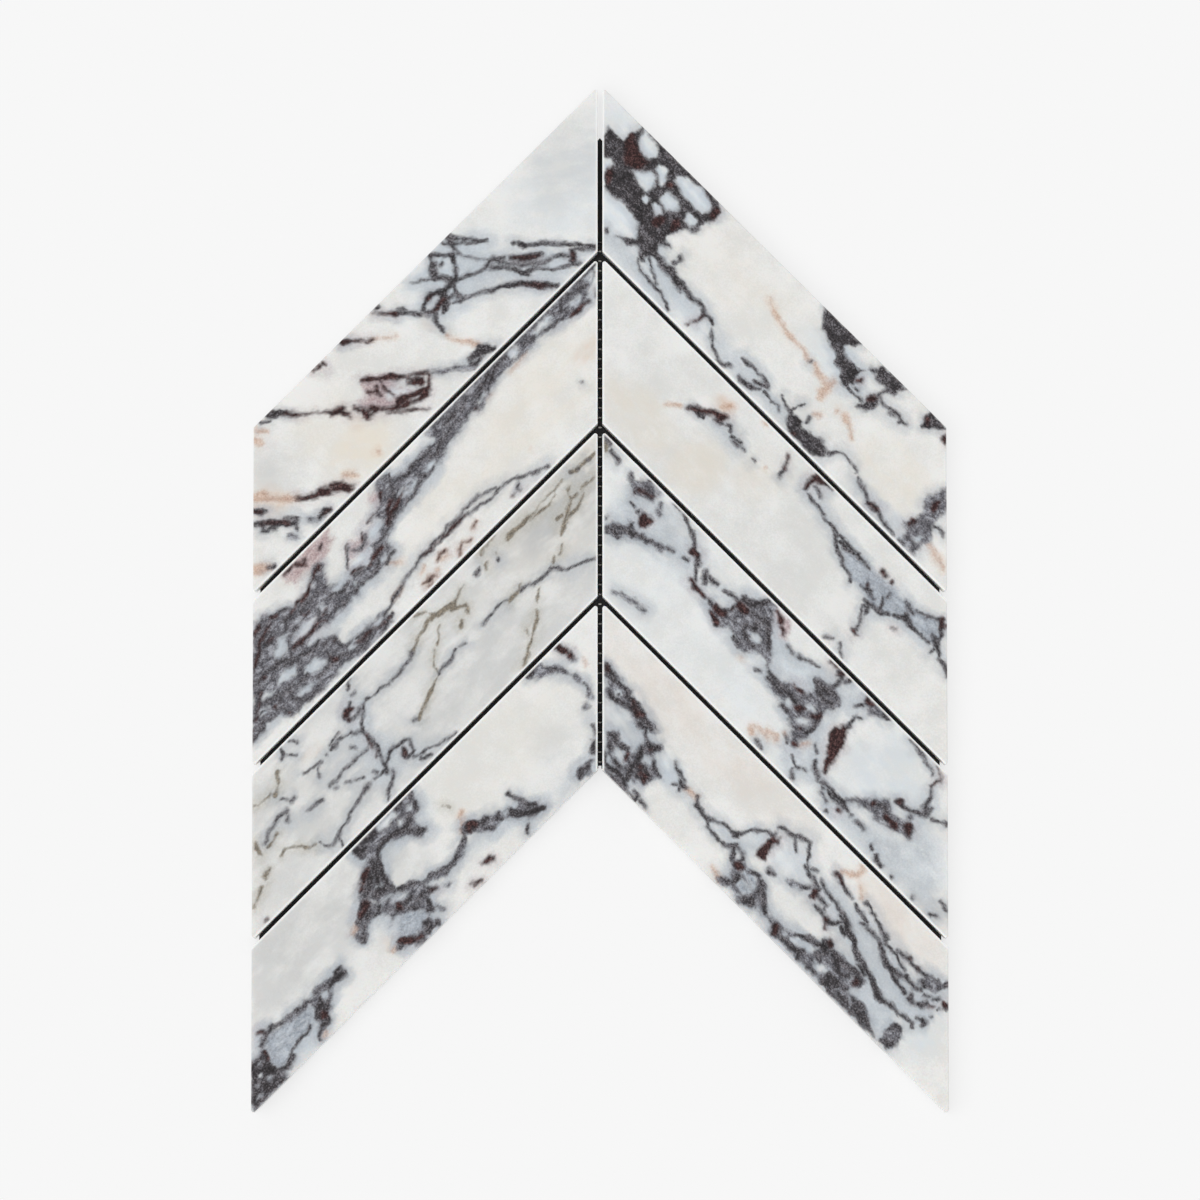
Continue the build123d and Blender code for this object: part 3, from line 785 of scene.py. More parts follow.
# Left strip 2: a streaked grey band with bluish fragments along the upper edge, which widens over the
# outer end, and a thin brown seam with red specks that climbs from the lower edge.
lay_strip(
    "left",
    2,
    swell=0.7,
    rose_mass=(
        (160, 0.5, 188, 0.5, 186, 7, 170, 8, 162, 6),
        (146, 14, 160, 12, 166, 20, 152, 23),
        (176, 15, 200, 18, 204, 28, 180, 29),
        (204, 8, 216, 11, 220, 18, 208, 18),
        (130, 3, 138, 4, 142, 12, 132, 12),
    ),
    mist_mass=(
        (100, 5, 130, 6, 146, 14, 170, 20, 190, 28, 188, 34, 160, 29, 140, 19, 110, 15),
    ),
    grey_mass=(
        (3, 1, 14, .5, 30, .3, 60, .3, 84, .3, 100, .5, 103, 1.5, 102, 5.5, 107, 6, 114, 6, 122, 5.8,
         126, 5, 126, 1, 131, .5, 134, 3, 134, 6.5, 139, 9, 143, 11, 141, 14, 144, 17, 148, 18.5,
         152, 20, 156, 24, 158, 23.8, 163, 23, 167, 21.5, 168, 26, 158, 28.5, 150, 28, 147, 25,
         149, 21.5, 144, 20, 138, 17.8, 130, 17, 124, 16, 118, 15, 110, 14, 102, 12.5, 95, 11, 88, 9.5,
         80, 9.5, 74, 9.5, 68, 7, 60, 6, 54, 6.5, 48, 6, 42, 6, 36, 7, 30, 8, 24, 9.5, 17, 10.5,
         15, 8.5, 11, 6, 6, 4),
        (168, 24, 172, 20, 176, 17, 175, 12, 172, 9.5, 176, 8.5, 180, 10, 181, 14, 186, 15, 192, 16,
         194, 13, 198, 11, 203, 9, 209, 7.5, 214, 11, 220, 17, 228, 24.5, 236, 33, 242, 38.5, 246, 42,
         240, 42.5, 236, 41, 230, 42, 226, 45.5, 222, 45, 219, 46.5, 213, 47, 208, 47, 200, 46.5,
         193, 46, 188, 47.5, 168, 48, 168, 42.5, 178, 41.5, 184, 42, 189, 40, 189.5, 35, 194, 32,
         200, 29.5, 196, 27.5, 188, 29, 180, 29, 170, 28.5),
    ),
    fragments=(
        (6, 3, 11, 2, 11.5, 5, 9.5, 6.5, 7, 5.5),
        (30, 2.5, 36, 2, 42, 3, 41, 5.5, 35, 5, 31, 4.5),
        (16, 6, 22, 5.5, 24, 7, 20, 8.5, 17, 8),
        (50, 2, 56, 1.5, 56, 5.5, 51, 5),
        (72, 7, 76, 6, 79, 8, 74, 8.5),
        (107, 11.5, 112, 10.5, 115, 12.5, 112, 13.8, 108, 13),
        (118, 12, 123, 11, 128, 11.5, 129, 14, 126, 15.5, 121, 14.5),
        (141, 15, 145, 12.8, 150, 13, 151.5, 16, 149, 18, 144, 17.3),
        (153, 19, 158, 16.5, 164, 17, 166, 19, 163, 22, 158, 23, 154.5, 21.5),
        (150, 25.5, 154, 25, 155, 27, 151, 27.5),
        (170, 43, 174, 42.3, 176.5, 44, 173, 45),
        (182, 43, 188, 41.5, 190, 43.5, 186, 45),
        (169, 21, 175, 19.5, 179, 20.5, 176, 22, 171, 22.5),
        (183, 21.5, 186.5, 21, 187, 24, 184, 25),
        (189, 23, 194, 21, 199, 21.5, 204, 23, 204, 25.5, 197, 26, 191, 25),
        (203, 20, 207, 18.5, 210, 21, 213, 22, 214, 24.5, 210, 25, 207, 24, 204, 21.5),
        (194, 19.5, 198, 18, 200, 19, 197, 20.5),
        (210, 32, 214, 30, 219, 31, 221, 32.5, 216, 34.5, 212, 34),
        (223, 33, 227, 31, 230, 32.5, 226, 34),
        (199, 38, 202, 35.5, 206, 35, 209, 37, 208, 40, 204, 41.5, 200, 40.5),
        (206, 43, 210, 42, 215, 40, 219, 40.5, 219, 42.5, 214, 43.5, 209, 44),
        (230, 36.5, 233, 35, 236, 36, 233, 38),
    ),
    dark=(
        (2, 1.3, .5, 8, 1, .5, 14, 1.5, .6),
        (11, 5, .8, 16, 3.5, 1, 20, 1.8, .8),
        (22, 1.5, .6, 25, 3.5, .9, 27, 5, .9, 25, 7, .6),
        (27, 4.5, .7, 30, 3.5, .7, 30.5, 1.5, .5),
        (28, 7.5, .5, 33, 7, .6, 37, 6, .4),
        (15.5, 9.5, .6, 19, 9, .5, 22, 9.5, .5),
        (42.5, 4.3, .5, 46, 4, .8, 48.5, 4.5, .7),
        (57, 2.5, 1, 61, 1.8, 1.3, 64, 2.8, 1.2, 67, 4.5, 1.2, 69, 5.5, .8),
        (66, 2, .9, 70, 3, 1.2, 74, 4.5, 1, 77, 6, .9),
        (80, 2.5, .8, 83, 4, .9, 86, 5, .9),
        (86, 2.5, 1, 90, 4.5, 1.2, 95, 4, 1),
        (88, 7.5, .7, 93, 7, .8, 97, 7.5, .8, 102, 9, 1, 106, 10.5, 1.2, 109, 9.5, .9),
        (106, 6.8, .8, 111, 7.8, .9, 116, 7, .8, 120, 8, .9, 125, 7, .8),
        (110, 14, .4, 117, 14.5, .4, 122, 15, .5, 126, 16.5, .6, 130, 16.5, .5),
        (116, 13.5, .8, 117.5, 11.5, .6),
        (126, 3, .8, 128, 6, 1, 130, 9, .9, 131, 12, 1),
        (131, 13, 1, 134, 14.5, 1.2, 137, 16.5, 1.2, 141, 18, .8, 145, 20, .5, 149, 19.5, .5,
         152, 19, .6),
        (147, 22.5, .4, 148.5, 25.5, .5),
        (147, 27, .8, 150, 27.8, .6, 153, 28.5, .8),
        (154, 25, .6, 156, 26.5, 1, 158, 28, .8, 163, 28, .5, 168, 27, .7),
        (152, 21, .7, 155, 23.5, .8),
        (163, 23.5, .8, 166, 22.5, .7),
        (151, 14.5, .5, 153, 16.5, .8, 157, 16, .8, 159, 15, .6),
        (160, 13, .5, 163, 15.5, .5, 166, 18, .5),
        (76.3, 47.3, .9, 78.5, 46.3, .4, 81, 45.5, .5, 83, 44.5, .6, 85.5, 43.8, .5, 88.5, 42, .7,
         92, 40.5, .5, 94.5, 39.3, .6, 97.5, 39.5, .5),
        (98, 38.7, .6, 101, 37.2, .5, 105, 36, .5, 109, 35.4, .5, 114, 35.5, .4, 118, 36.2, .5,
         122, 36, .5, 124, 35.2, .5, 128, 36.5, .4, 133, 36, .6, 136, 37, .8),
        (97.5, 39.5, .4, 101, 40.2, .4, 105, 39.5, .5, 108.5, 38.8, .5, 112, 38.2, .4, 116, 37.2, .5,
         120, 37.2, .6, 125, 37.3, .6, 129, 37.8, .5, 133, 38.2, .4, 136, 37.8, .5, 138.5, 37, 1,
         141, 36.8, .7, 143.5, 37.3, .6, 147, 38, .35, 150.5, 38.5, .35, 154, 39.2, .5, 157, 40, .9,
         160, 40.8, 1.1, 162, 41.5, .8, 165, 42.5, .5, 168, 43, .8),
        (90.5, 43.5, .6, 92, 45, .5),
        (83.5, 45, .7, 81.5, 46, .5),
        (166, 26.5, .9, 170, 27.5, .9),
        (174, 27, .6, 178, 28, .8, 182, 27.5, .6),
        (170, 23.5, .5, 174, 24, .7, 178, 22, .6, 182, 21, .6),
        (186, 22, .5, 187.5, 24, .6, 185.5, 26, .5),
        (181, 16.5, .7, 185, 17.5, .5, 189, 16.8, .7, 193, 17.5, .7),
        (195, 12.5, .6, 199, 11.5, .8, 203, 10.5, .8),
        (196, 15.5, .8, 199, 15, .9, 201, 17.5, .8, 203, 19, .6),
        (198, 21.5, .7, 200.5, 21, .5),
        (205, 22.5, .4, 207, 25, .5, 207.5, 27, .5),
        (207.5, 29.5, .8, 211, 27.5, 1, 215, 26.5, 1.2, 219, 25.5, 1, 223, 25.5, .9, 227, 26, .9),
        (200, 32, .8, 204, 31, .9, 208, 30, 1, 213, 29, .9),
        (208, 31, .6, 209, 33, .5),
        (215, 16, .8, 218, 18.5, .9, 221, 19.5, .8, 224, 21.5, .8),
        (208, 15, .7, 211, 14, .7, 213, 17, .8, 210, 18, .6),
        (206, 8.5, .5, 210, 9.5, .6, 213, 11.5, .7),
        (216, 37.5, .7, 220, 36.5, .8, 224, 35.5, .6, 228, 34.5, .5, 231, 33.7, .6, 236, 34, .5),
        (209, 38, .8, 213, 38.5, .7, 216, 38, .7),
        (201, 42, .5, 205, 42, .5, 209, 40.5, .5),
        (219.5, 38, .8, 220.5, 41, .8, 218.5, 44, .7, 215, 45.5, .7, 212, 45.5, .5),
        (208.5, 47, .3, 212, 45.5, .4),
        (219, 45.5, .5, 222, 46, .4),
        (222, 37, .6, 226, 38.5, .8, 229, 37.5, .6, 227, 41, .5, 225, 44, .5),
        (231, 36.5, .5, 235, 36, .5, 239, 35.8, .5),
        (232, 41, .5, 236, 39.5, .6, 241.5, 38.5, .7),
        (237, 41, .6, 241, 41, .6, 245, 41.7, .5),
        (226, 30, .6, 229, 29, .8, 231, 31.5, .6, 234, 32, .6),
        (190, 35, .7, 191, 37.5, .8, 190.5, 40, .7, 186, 41.5, .6, 181, 42, .6, 177.5, 43.5, .7,
         179, 45.5, .9, 183, 45.5, .8, 187, 45.5, .7, 190, 44, .7),
        (190, 35, .6, 193, 33.5, .6, 196, 34, .6),
        (196.5, 35.5, .6, 197, 39, .9, 198.5, 40.5, .6),
        (191, 43.5, 1, 195, 42.5, 1.2, 197.5, 41.5, 1, 201, 42.3, .8),
        (166, 45, .8, 169, 46, 1, 173, 47, .8),
        (184, 47, .7, 188, 46.5, .6),
        (196, 31.5, .5, 200, 33.5, .5, 203, 33.5, .5),
    ),
    grey=((41.5, 32.5, .8),),
    wine=(
        (9.5, 8.5, .8, 12, 10.5, .7),
        (15.5, 10.3, .8, 20, 9.9, .7, 25, 9.5, .6),
        (31, 7.5, .5, 34, 8, .5),
        (81, 9, .8),
        (132, 11, 1.2, 135, 12.5, 1.5, 138, 14.5, 1.2),
        (134, 6, .8, 137, 8.5, .7),
        (143, 10.5, .7, 147, 11, .5),
        (151.5, 12.5, .5, 153, 14.5, .6),
        (160, 11.5, .5, 162.5, 14, .5),
        (116, 37.4, .4, 125, 37.4, .5, 134, 37.6, .4, 138.5, 37, .8),
        (176, 3, 1, 178, 4.5, 1, 180, 2, .8),
        (166, 3.5, .5, 169, 4.5, .6),
        (173, 9.5, .6, 175, 10.5, .6),
        (181, 1.5, .4, 187, 1.5, .3),
        (203, 10.5, 1, 201, 11.5, .8),
        (209, 9, .8, 213, 10.5, .8),
        (209, 17, 1, 212, 16.5, .9),
        (188, 27.5, .6, 190, 26.5, .6),
        (177, 26.5, .8),
        (223, 26.5, 1),
        (196, 42.5, .9, 197, 39.5, .7),
        (168, 46, .8),
        (191.3, 36.5, .6),
        (219.5, 42.5, .7),
        (225.5, 44, .6),
        (228, 38, .6),
        (190, 20, .5, 193, 19, .5),
        (114, 42.5, .1, 116.5, 43.5, .3),
        (121, 46, .2, 124.5, 45.5, .2, 127.5, 46, .4, 128.8, 47.5, .2),
        (131.5, 42, .1, 134.5, 41, .5, 136.5, 42.5, .3),
        (142, 47, .2, 143.5, 45.5, .5, 145, 46.5, .6, 147.5, 45.5, .2),
        (145.5, 47.5, .2, 148, 47.8, .2),
        (91, 46, .2, 96, 45.5, .1),
        (126, 12, .8, 134, 14, 1.3, 141, 16.5, 1),
        (150, 22, .6, 158, 24, .8, 166, 21, .6),
        (176, 10, .7, 186, 14, .9, 196, 15, .8),
        (184, 24, .6, 196, 27, .9, 206, 26, .7),
        (205, 12, .9, 214, 15, 1.1, 222, 20, .9),
        (228, 30, .7, 238, 37, .8),
        (170, 45, .7, 186, 43, .9),
    ),
    rust=(
        (50, 6.7, .2, 55, 7.5, .3, 60, 7.8, .2),
        (72, 9, .3, 75, 9.3, .3),
        (152.5, 28.5, .9, 150.5, 30.5, .6, 148, 32.5, .5),
        (156, 39.8, .7, 162, 41.3, .7),
        (114, 42.5, .3, 116.5, 43.5, .6),
        (121, 46, .4, 124.5, 45.5, .4, 127.5, 46, .6, 128.8, 47.5, .4),
        (131.5, 42, .3, 134.5, 41, .8, 136.5, 42.5, .5),
        (132.5, 44.3, .4, 136, 43.5, .3),
        (142, 47, .4, 143.5, 45.5, .7, 145, 46.5, .8, 147.5, 45.5, .4),
        (145.5, 47.5, .4, 148, 47.8, .4),
        (140, 45.5, .4),
        (143, 41, .3, 146, 41.5, .3),
    ),
    warm=((60, 25, 45, 16, .45), (108, 30, 30, 12, .4)),
    shade=((205, 28, 40, 20, .25),),
    blush=((176, 4, 12, 4, .7), (31, 25, 8, 4, .7), (76.5, 36.8, 1, 1, .5)),
)

# Right strip 2: clean warm ivory over the inner half, a small wine-red streak in it,
# and a loose grey-blue net with thin dark cracks over the outer half of the upper edge.
lay_strip(
    "right",
    2,
    swell=1.2,
    mist_mass=(
        (146, 11, 163, 11, 190, 11, 207, 7, 220, 18, 212, 20, 195, 22, 185, 27, 170, 24, 155, 18),
        (68, 20, 78, 15, 98, 13, 98, 17, 78, 20),
        (128, 8, 146, 10, 146, 13, 130, 11),
    ),
    slate_mass=(
        (163, 13.5, 172, 13, 180, 12.5, 190, 12.5, 200, 11, 207, 8.5, 212, 13, 213, 17.5, 200, 18,
         192, 20, 189, 23, 182, 24.5, 177, 22, 170, 22, 164, 20, 158, 17),
    ),
    dark=(
        (70, 18.5, .3, 72.5, 17.3, .8, 75, 18, .9, 77, 17.2, .6),
        (82, 14, .4, 84.5, 14, .4),
        (86.5, 13.2, .4, 88, 12.8, .7, 89.5, 13.5, .5),
        (91.5, 14.5, .5, 94, 14.2, .8, 96, 14, .6),
        (93, 15.8, .5, 96, 15.8, .5),
        (97, 15.3, .3, 99.5, 15.3, .2),
        (104, 15.4, .3, 105.5, 15.3, .25),
        (116.8, 9.5, .4, 116.5, 11, .5, 117.2, 13, .3),
        (128.5, 8.7, .7),
        (133, .8, .8, 136.5, .8, .5),
        (130.5, 5.2, .3, 133, 5.5, .3, 135.5, 6.3, .4),
        (131, 10, .4, 134, 10, .5, 137, 10.3, .3, 140, 10.7, .4, 142, 11, .4),
        (143, 12, .3, 146, 11.8, .4, 149, 12, .5, 152, 13, .6),
        (149, 12.8, .4, 152, 14.5, .6, 155, 16.5, .7, 157.5, 18, .5, 160, 19, .4, 163, 20.3, .5,
         167, 21.5, .4, 169.5, 23, .4),
        (154.5, 14, .7, 158, 14.5, .9, 161, 14, .6, 163, 13, .7, 167, 13.5, .5, 171, 13.2, .4),
        (152, 12.3, .5, 156, 13, .7, 160, 12.8, .6, 163.5, 12.5, .6),
        (175.5, 18.5, .6, 176.5, 20, .9, 178, 20.2, .5),
        (173, 21.3, .3, 176, 21, .3, 181, 21.5, .3),
        (183.5, 18, .5, 185, 20, .6, 186, 22, .8, 188, 22.8, .8, 190, 21.5, .7),
        (178.5, 24, .4, 181.5, 24.2, .8, 184, 23.5, .6, 187.5, 23.3, .8),
        (184.5, 14.5, .3, 185, 17, .3),
        (192, 19.8, .6, 194, 18.8, .6, 196, 17.8, 1.2, 198, 18.3, 1, 201, 18, .6, 205, 18.2, .4,
         208, 18.2, .4, 210.5, 17.7, .5),
        (195.5, 16, .7, 196.5, 17.5, .8),
        (191.5, 12.5, .4, 194, 13.3, .7, 197, 14, .5),
        (197, 12.3, .3, 200, 10.8, .4, 203, 10.3, .5, 205.5, 9, .6, 207.5, 8, .8),
        (208.5, 8.5, .9, 210.5, 10.5, .8, 212, 12.5, .8, 212.5, 14.5, .6),
        (209, 14.5, .5, 212, 15.5, .9, 214.5, 17, .9, 217, 18.8, .5),
        (213.8, 18.5, .5, 214, 20.5, .4),
        (218, 19.8, .5, 221, 20, .7, 224, 21.3, .5, 225.5, 22.8, .4),
        (180, 26, .5, 182, 26, .8, 183, 27.8, .5),
        (180, 26.5, .3, 182, 29.5, .3, 184, 32.5, .5, 185, 35, .4),
        (178, 47.3, .3, 180.5, 45, .2),
        (184.5, 44.8, .3, 187, 46.5, .3, 189, 48, .3),
    ),
    wine_mass=((127, 0, 133.5, 0, 134, 1.2, 131.5, 3, 129.5, 4, 128.5, 5.5, 129.5, 8.5, 128, 9, 127, 6),),
    wine=(
        (70, 19.5, .3, 73, 17.5, .7, 75.5, 15.5, .9, 78, 14.2, 1.2, 81, 13, 1.1, 84, 11, .9),
        (176, 11, 1, 177.5, 11, .8),
        (181.5, 11, .5),
        (175.5, 18, .5),
        (207.5, 7.3, .8, 209.5, 9, 1),
        (202.5, 11, .6),
        (185, 36.5, .7, 186.5, 37.2, .5),
        (195, 24.3, .3, 196.5, 23.8, .3),
        (114, 4, .5, 115.5, 6.5, .5, 116.8, 8.5, .3),
    ),
    rust=(
        (80, 8, .6, 82, 6, .6),
        (62, 25, .15, 64.5, 22.8, .3, 67, 21, .35),
        (110.5, 14.5, .4),
        (97.5, .3, .9),
    ),
    warm=((58, 36, 20, 10, .7), (90, 34, 12, 12, .75), (111, 20, 10, 10, .5)),
    shade=((91, 13, 8, 4, .5), (134, 6, 6, 5, .5), (110, 30, 90, 30, .2)),
    blush=((80, 8, 5, 4, .8),),
)

# Left strip 3: greyer, finely speckled stone under an open net of thin olive-brown cracks,
# which turn dark grey-brown and split into small loops toward the outer end.
lay_strip(
    "left",
    3,
    swell=1.0,
    mist_mass=(
        (146, 8, 160, 8, 166, 25, 168, 40, 158, 44, 146, 44, 150, 34, 154, 25, 150, 15),
    ),
    olive=(
        (8, 5.7, .4, 12, 5.6, .6, 16, 5.5, .4, 18.5, 5.6, .8, 20.5, 4.5, .6),
        (26, 4.5, .3, 30, 4.9, .3, 33, 4.8, .3, 38, 5, .3, 42, 5.5, .6, 46, 5.8, 1.1, 50, 5.8, .9,
         54, 5.3, .7, 58, 5.3, .8, 59.5, 5.5, .5),
        (32, 7, .3, 37, 7.5, .4, 42, 7.3, .5, 47, 6.8, .5),
        (62, 1, .3, 66, 1.3, .4, 69, 1.3, .5, 71.5, 2.5, .5),
        (66.5, 6.5, .3),
        (72, 6.5, .5, 74, 8.3, .5),
        (24, 8.3, .3, 26.5, 8.8, .6, 28, 10.5, .4, 28.5, 12.5, .5),
        (15, 12.7, .4, 19, 12.6, .5, 22.5, 12.7, .3),
        (25, 13, .4, 28.5, 12.9, .5, 31.5, 14.5, .4, 34, 16, .5, 37, 17.3, .6, 39.5, 18.8, .5,
         42, 20.5, .5),
        (22.5, 14.5, .3, 25.5, 16, .4, 29, 16.8, .4, 33, 17, .4, 36, 17.8, .4),
        (36, 14.8, .3, 38.5, 14.3, .4),
        (44.5, 23.3, .3, 46.5, 25, .35, 48.5, 25.7, .3),
        (50.5, 25, .4, 52.5, 26.3, .4),
        (69, 23, .4, 70.5, 24, .8, 73, 24, .7, 75.5, 24.6, .8, 77, 24.7, .7),
        (64, 29.5, .3, 66.5, 31.5, .3, 69, 33.7, .3),
        (71, 35, .3, 74, 38, .4, 78, 40.5, .45, 81, 42, .5, 84, 44.2, .5, 87, 46, .4, 90.5, 47.3, .4,
         92.5, 48, .3),
        (80, 38, .3, 81.5, 40.5, .35),
        (85, 6, .3, 88.5, 7, .4, 91.5, 8.3, .6, 94.5, 9.6, .9, 96.5, 9.8, .6),
        (94, 9, .8, 98, 8, 1, 101, 7.5, 1.2, 103.5, 6.5, .8, 106, 6.8, .6, 110, 7.8, .6, 114, 8.6, .5,
         117.5, 9.8, .4, 120.5, 11.3, .5),
        (103.3, 5.5, .4, 104.5, 3.5, .3, 107, 1.8, .3, 109.5, .5, .3),
        (95.5, 10, .6, 93, 11.2, .6, 90.5, 12.7, .6, 91, 14.5, .4, 92.5, 15.7, .4),
        (96, 16, .3, 98, 17, .4),
        (98.7, 17.8, .7),
        (104, 10.8, .1, 106.5, 12, .2, 108, 14.5, .1, 111, 16.5, .1),
        (113.5, 17.3, .3, 116.5, 19.5, .4, 118.3, 22, .5, 118.7, 24.5, .5),
        (119.5, 25.5, .2, 122.5, 26.8, .2, 126.5, 28.3, .4, 130, 29.5, .5, 134, 31.2, .6, 138, 33, .5),
        (205.5, 39.7, .3, 208, 38.8, .5, 209.8, 37.2, .5, 210.5, 35.8, .4, 212.5, 33.8, .35,
         214.5, 32, .4, 217, 31.9, .45, 219, 32.6, .4),
        (226, 33, .4, 228.5, 33.7, .4, 230, 34.2, .3),
        (233.5, 36.3, .3, 236, 37.5, .4, 239, 38.8, .4, 242, 40, .3),
        (213.5, 25, .3, 216, 25.7, .3, 218, 26, .5, 220.5, 26.2, .3),
        (194.5, 6.5, .3, 197, 8.8, .4, 198.8, 11.5, .4, 201, 12.6, .6, 203, 13, .4),
        (203.5, 11.5, .4),
        (205, 12, .1, 209, 11.3, .15, 212.5, 10, .3),
        (222.5, 21.5, .5, 224, 24, .5, 224.8, 27, .4),
    ),
    dark=(
        (11.5, 5.8, .3),
        (17.5, 5.8, .3),
        (20.5, 4.3, .3),
        (67.5, 9.2, .6),
        (76, 6.2, .5, 78, 6.8, .7, 79.5, 7, .4),
        (38.5, 37.8, .5, 41, 36, .5, 44, 34.5, .5, 47.5, 33, .5, 50.5, 32.6, .4, 52, 30.5, .5,
         53.2, 28.3, .5, 54.5, 27.3, .4, 57.5, 27.4, .4, 61, 27.2, .4, 64.5, 26.3, .35, 68, 25.5, .4,
         70, 24.7, .6),
        (77.5, 23.5, .2, 80, 22.8, .3, 84, 23, .3, 88, 23.6, .45, 92, 24, .3),
        (120.5, 11.3, .5, 123.5, 12.6, .4, 128, 13.2, .4, 132, 13.5, .5, 137, 13.3, .4, 141, 12.8, .45,
         145, 12.4, .4, 148.5, 11.6, .6),
        (102.5, 24, .4, 104.5, 23.3, .3),
        (107, 23.3, .5, 110, 24.3, .4, 113, 25, .4, 116, 24.8, .4, 119, 25.3, .5),
        (139, 32.2, .3, 140.5, 32, .3),
        (146.5, .5, .3, 148.5, 1.5, .4, 150.5, 3, .3),
        (149, 6.5, .3, 151, 6, .25),
        (153.5, 7.5, .4, 155, 8.5, .4),
        (150.5, 12.5, .5, 153, 14.5, .5, 155.5, 17, .5, 158, 19.5, .6, 158.3, 22, .6, 157.8, 25, .7,
         158.3, 28, .6, 159.3, 30.5, .6, 160.5, 33.5, .5, 162, 37, .6, 163, 39.5, .7),
        (152.5, 12.5, .4, 154.5, 13.7, .4, 157, 13.3, .5, 159.5, 12.5, .4, 160, 11, .4),
        (159.5, 19, .5, 161.3, 18.5, .5, 162, 17, .5),
        (163, 16.8, .25, 165.5, 16, .4, 168, 15.8, .35, 171.5, 16, .8, 173, 16.2, .6),
        (165.5, 22.5, .5, 166.5, 21.8, .5),
        (162, 26.8, .2, 165, 26.3, .3, 170, 26.2, .3, 175, 26, .35, 180, 26.5, .3, 184, 26.8, .3),
        (163, 38, .5, 166.5, 37.8, .5, 169, 37.7, .35),
        (166, 36.3, .4, 167, 35.3, .4),
        (161.5, 41, .5, 163.5, 42.8, .5, 166, 44, .6, 168.5, 45.5, .4, 171.5, 48, .3),
        (147, 36, .5, 148.5, 35, .6, 151, 34.8, .6, 153.5, 34, .7, 156, 34.2, .5, 158.5, 35, .5,
         161, 36.5, .5, 162.5, 38.5, .6),
        (147.2, 36.5, .5, 148.5, 38.5, .5, 148.8, 40.8, .6, 150.5, 41.3, .6, 152.3, 40.5, .5),
        (151.5, 37.5, .9, 152.8, 39.3, 1, 152.3, 41, .7),
        (151, 42.5, .5, 148.5, 44, .5, 145, 44.2, .4),
        (145, 46.8, .6, 147.5, 46, .6, 149.5, 45.3, .5),
        (144, 44.5, .3, 140, 46, .3, 136, 47.3, .25, 131, 48, .25),
        (171, 34, .5, 173, 32.8, .4, 175, 32.2, .3),
        (176.7, 31.7, .4, 178.3, 30, .4),
        (182.5, 29, .4, 183.3, 28.6, .4),
        (172, 37.3, .4, 174.5, 38, .7, 177, 38.8, .6, 180, 39.2, .4, 183, 39.7, .4, 186.5, 40.8, .4,
         190, 42, .45, 194, 43.2, .4, 196.5, 44, .5),
        (196.8, 44.5, .5, 197, 46.5, .6, 197.8, 47.8, .4),
        (197, 44, .4, 199.5, 44.7, .3, 201.5, 44.5, .3, 203.3, 42.5, .4, 203.8, 40.8, .3),
        (190, 28.7, .4, 192.5, 27.8, .5, 195, 27.8, .4, 198, 27.5, .4),
        (198, 19.5, .6, 199.5, 19.8, .5),
        (200.5, 18.5, .3, 201.5, 16.5, .3, 203, 15.5, .25),
        (203.5, 21, .5, 205, 21, .5, 208.5, 20.8, .4, 212, 21.3, .3, 216, 22.5, .25, 220, 24.5, .25),
        (205.5, 23.3, .5, 207, 24.5, .5),
        (183, .8, .4, 181.5, 2.3, .4, 181, 4.5, .6),
        (187, 1, .5, 188.5, 3.5, .6, 190.5, 4.5, .3),
        (188, 4.5, .3, 186, 6.3, .4, 184.8, 7.5, .4),
        (176, 16.3, .4),
        (179.5, 16.7, .4, 183, 16.3, .4, 186, 15.8, .35, 188.5, 15.3, .3),
        (181.5, 17.5, .2, 184.5, 20.3, .2),
        (166, 13.5, .25, 172, 14.5, .2),
    ),
    wine=(
        (155, 10, .8, 157, 9, 1.1, 158.5, 10.5, 1, 159, 12.5, .5),
        (158.8, 22.5, .3, 159.5, 27, .3, 160.5, 30.5, .3, 161.8, 31.5, .2),
        (151.8, 38, .5, 152.5, 40, .5),
        (241.5, 47.5, .7, 243, 47.3, .5),
    ),
    warm=((15, 7, 12, 8, .7), (40, 16, 30, 14, .5)),
    shade=((125, 25, 140, 40, .6), (34, 14, 28, 13, 1)),
    blush=((180, 11.5, 6, 2, .5),),
)

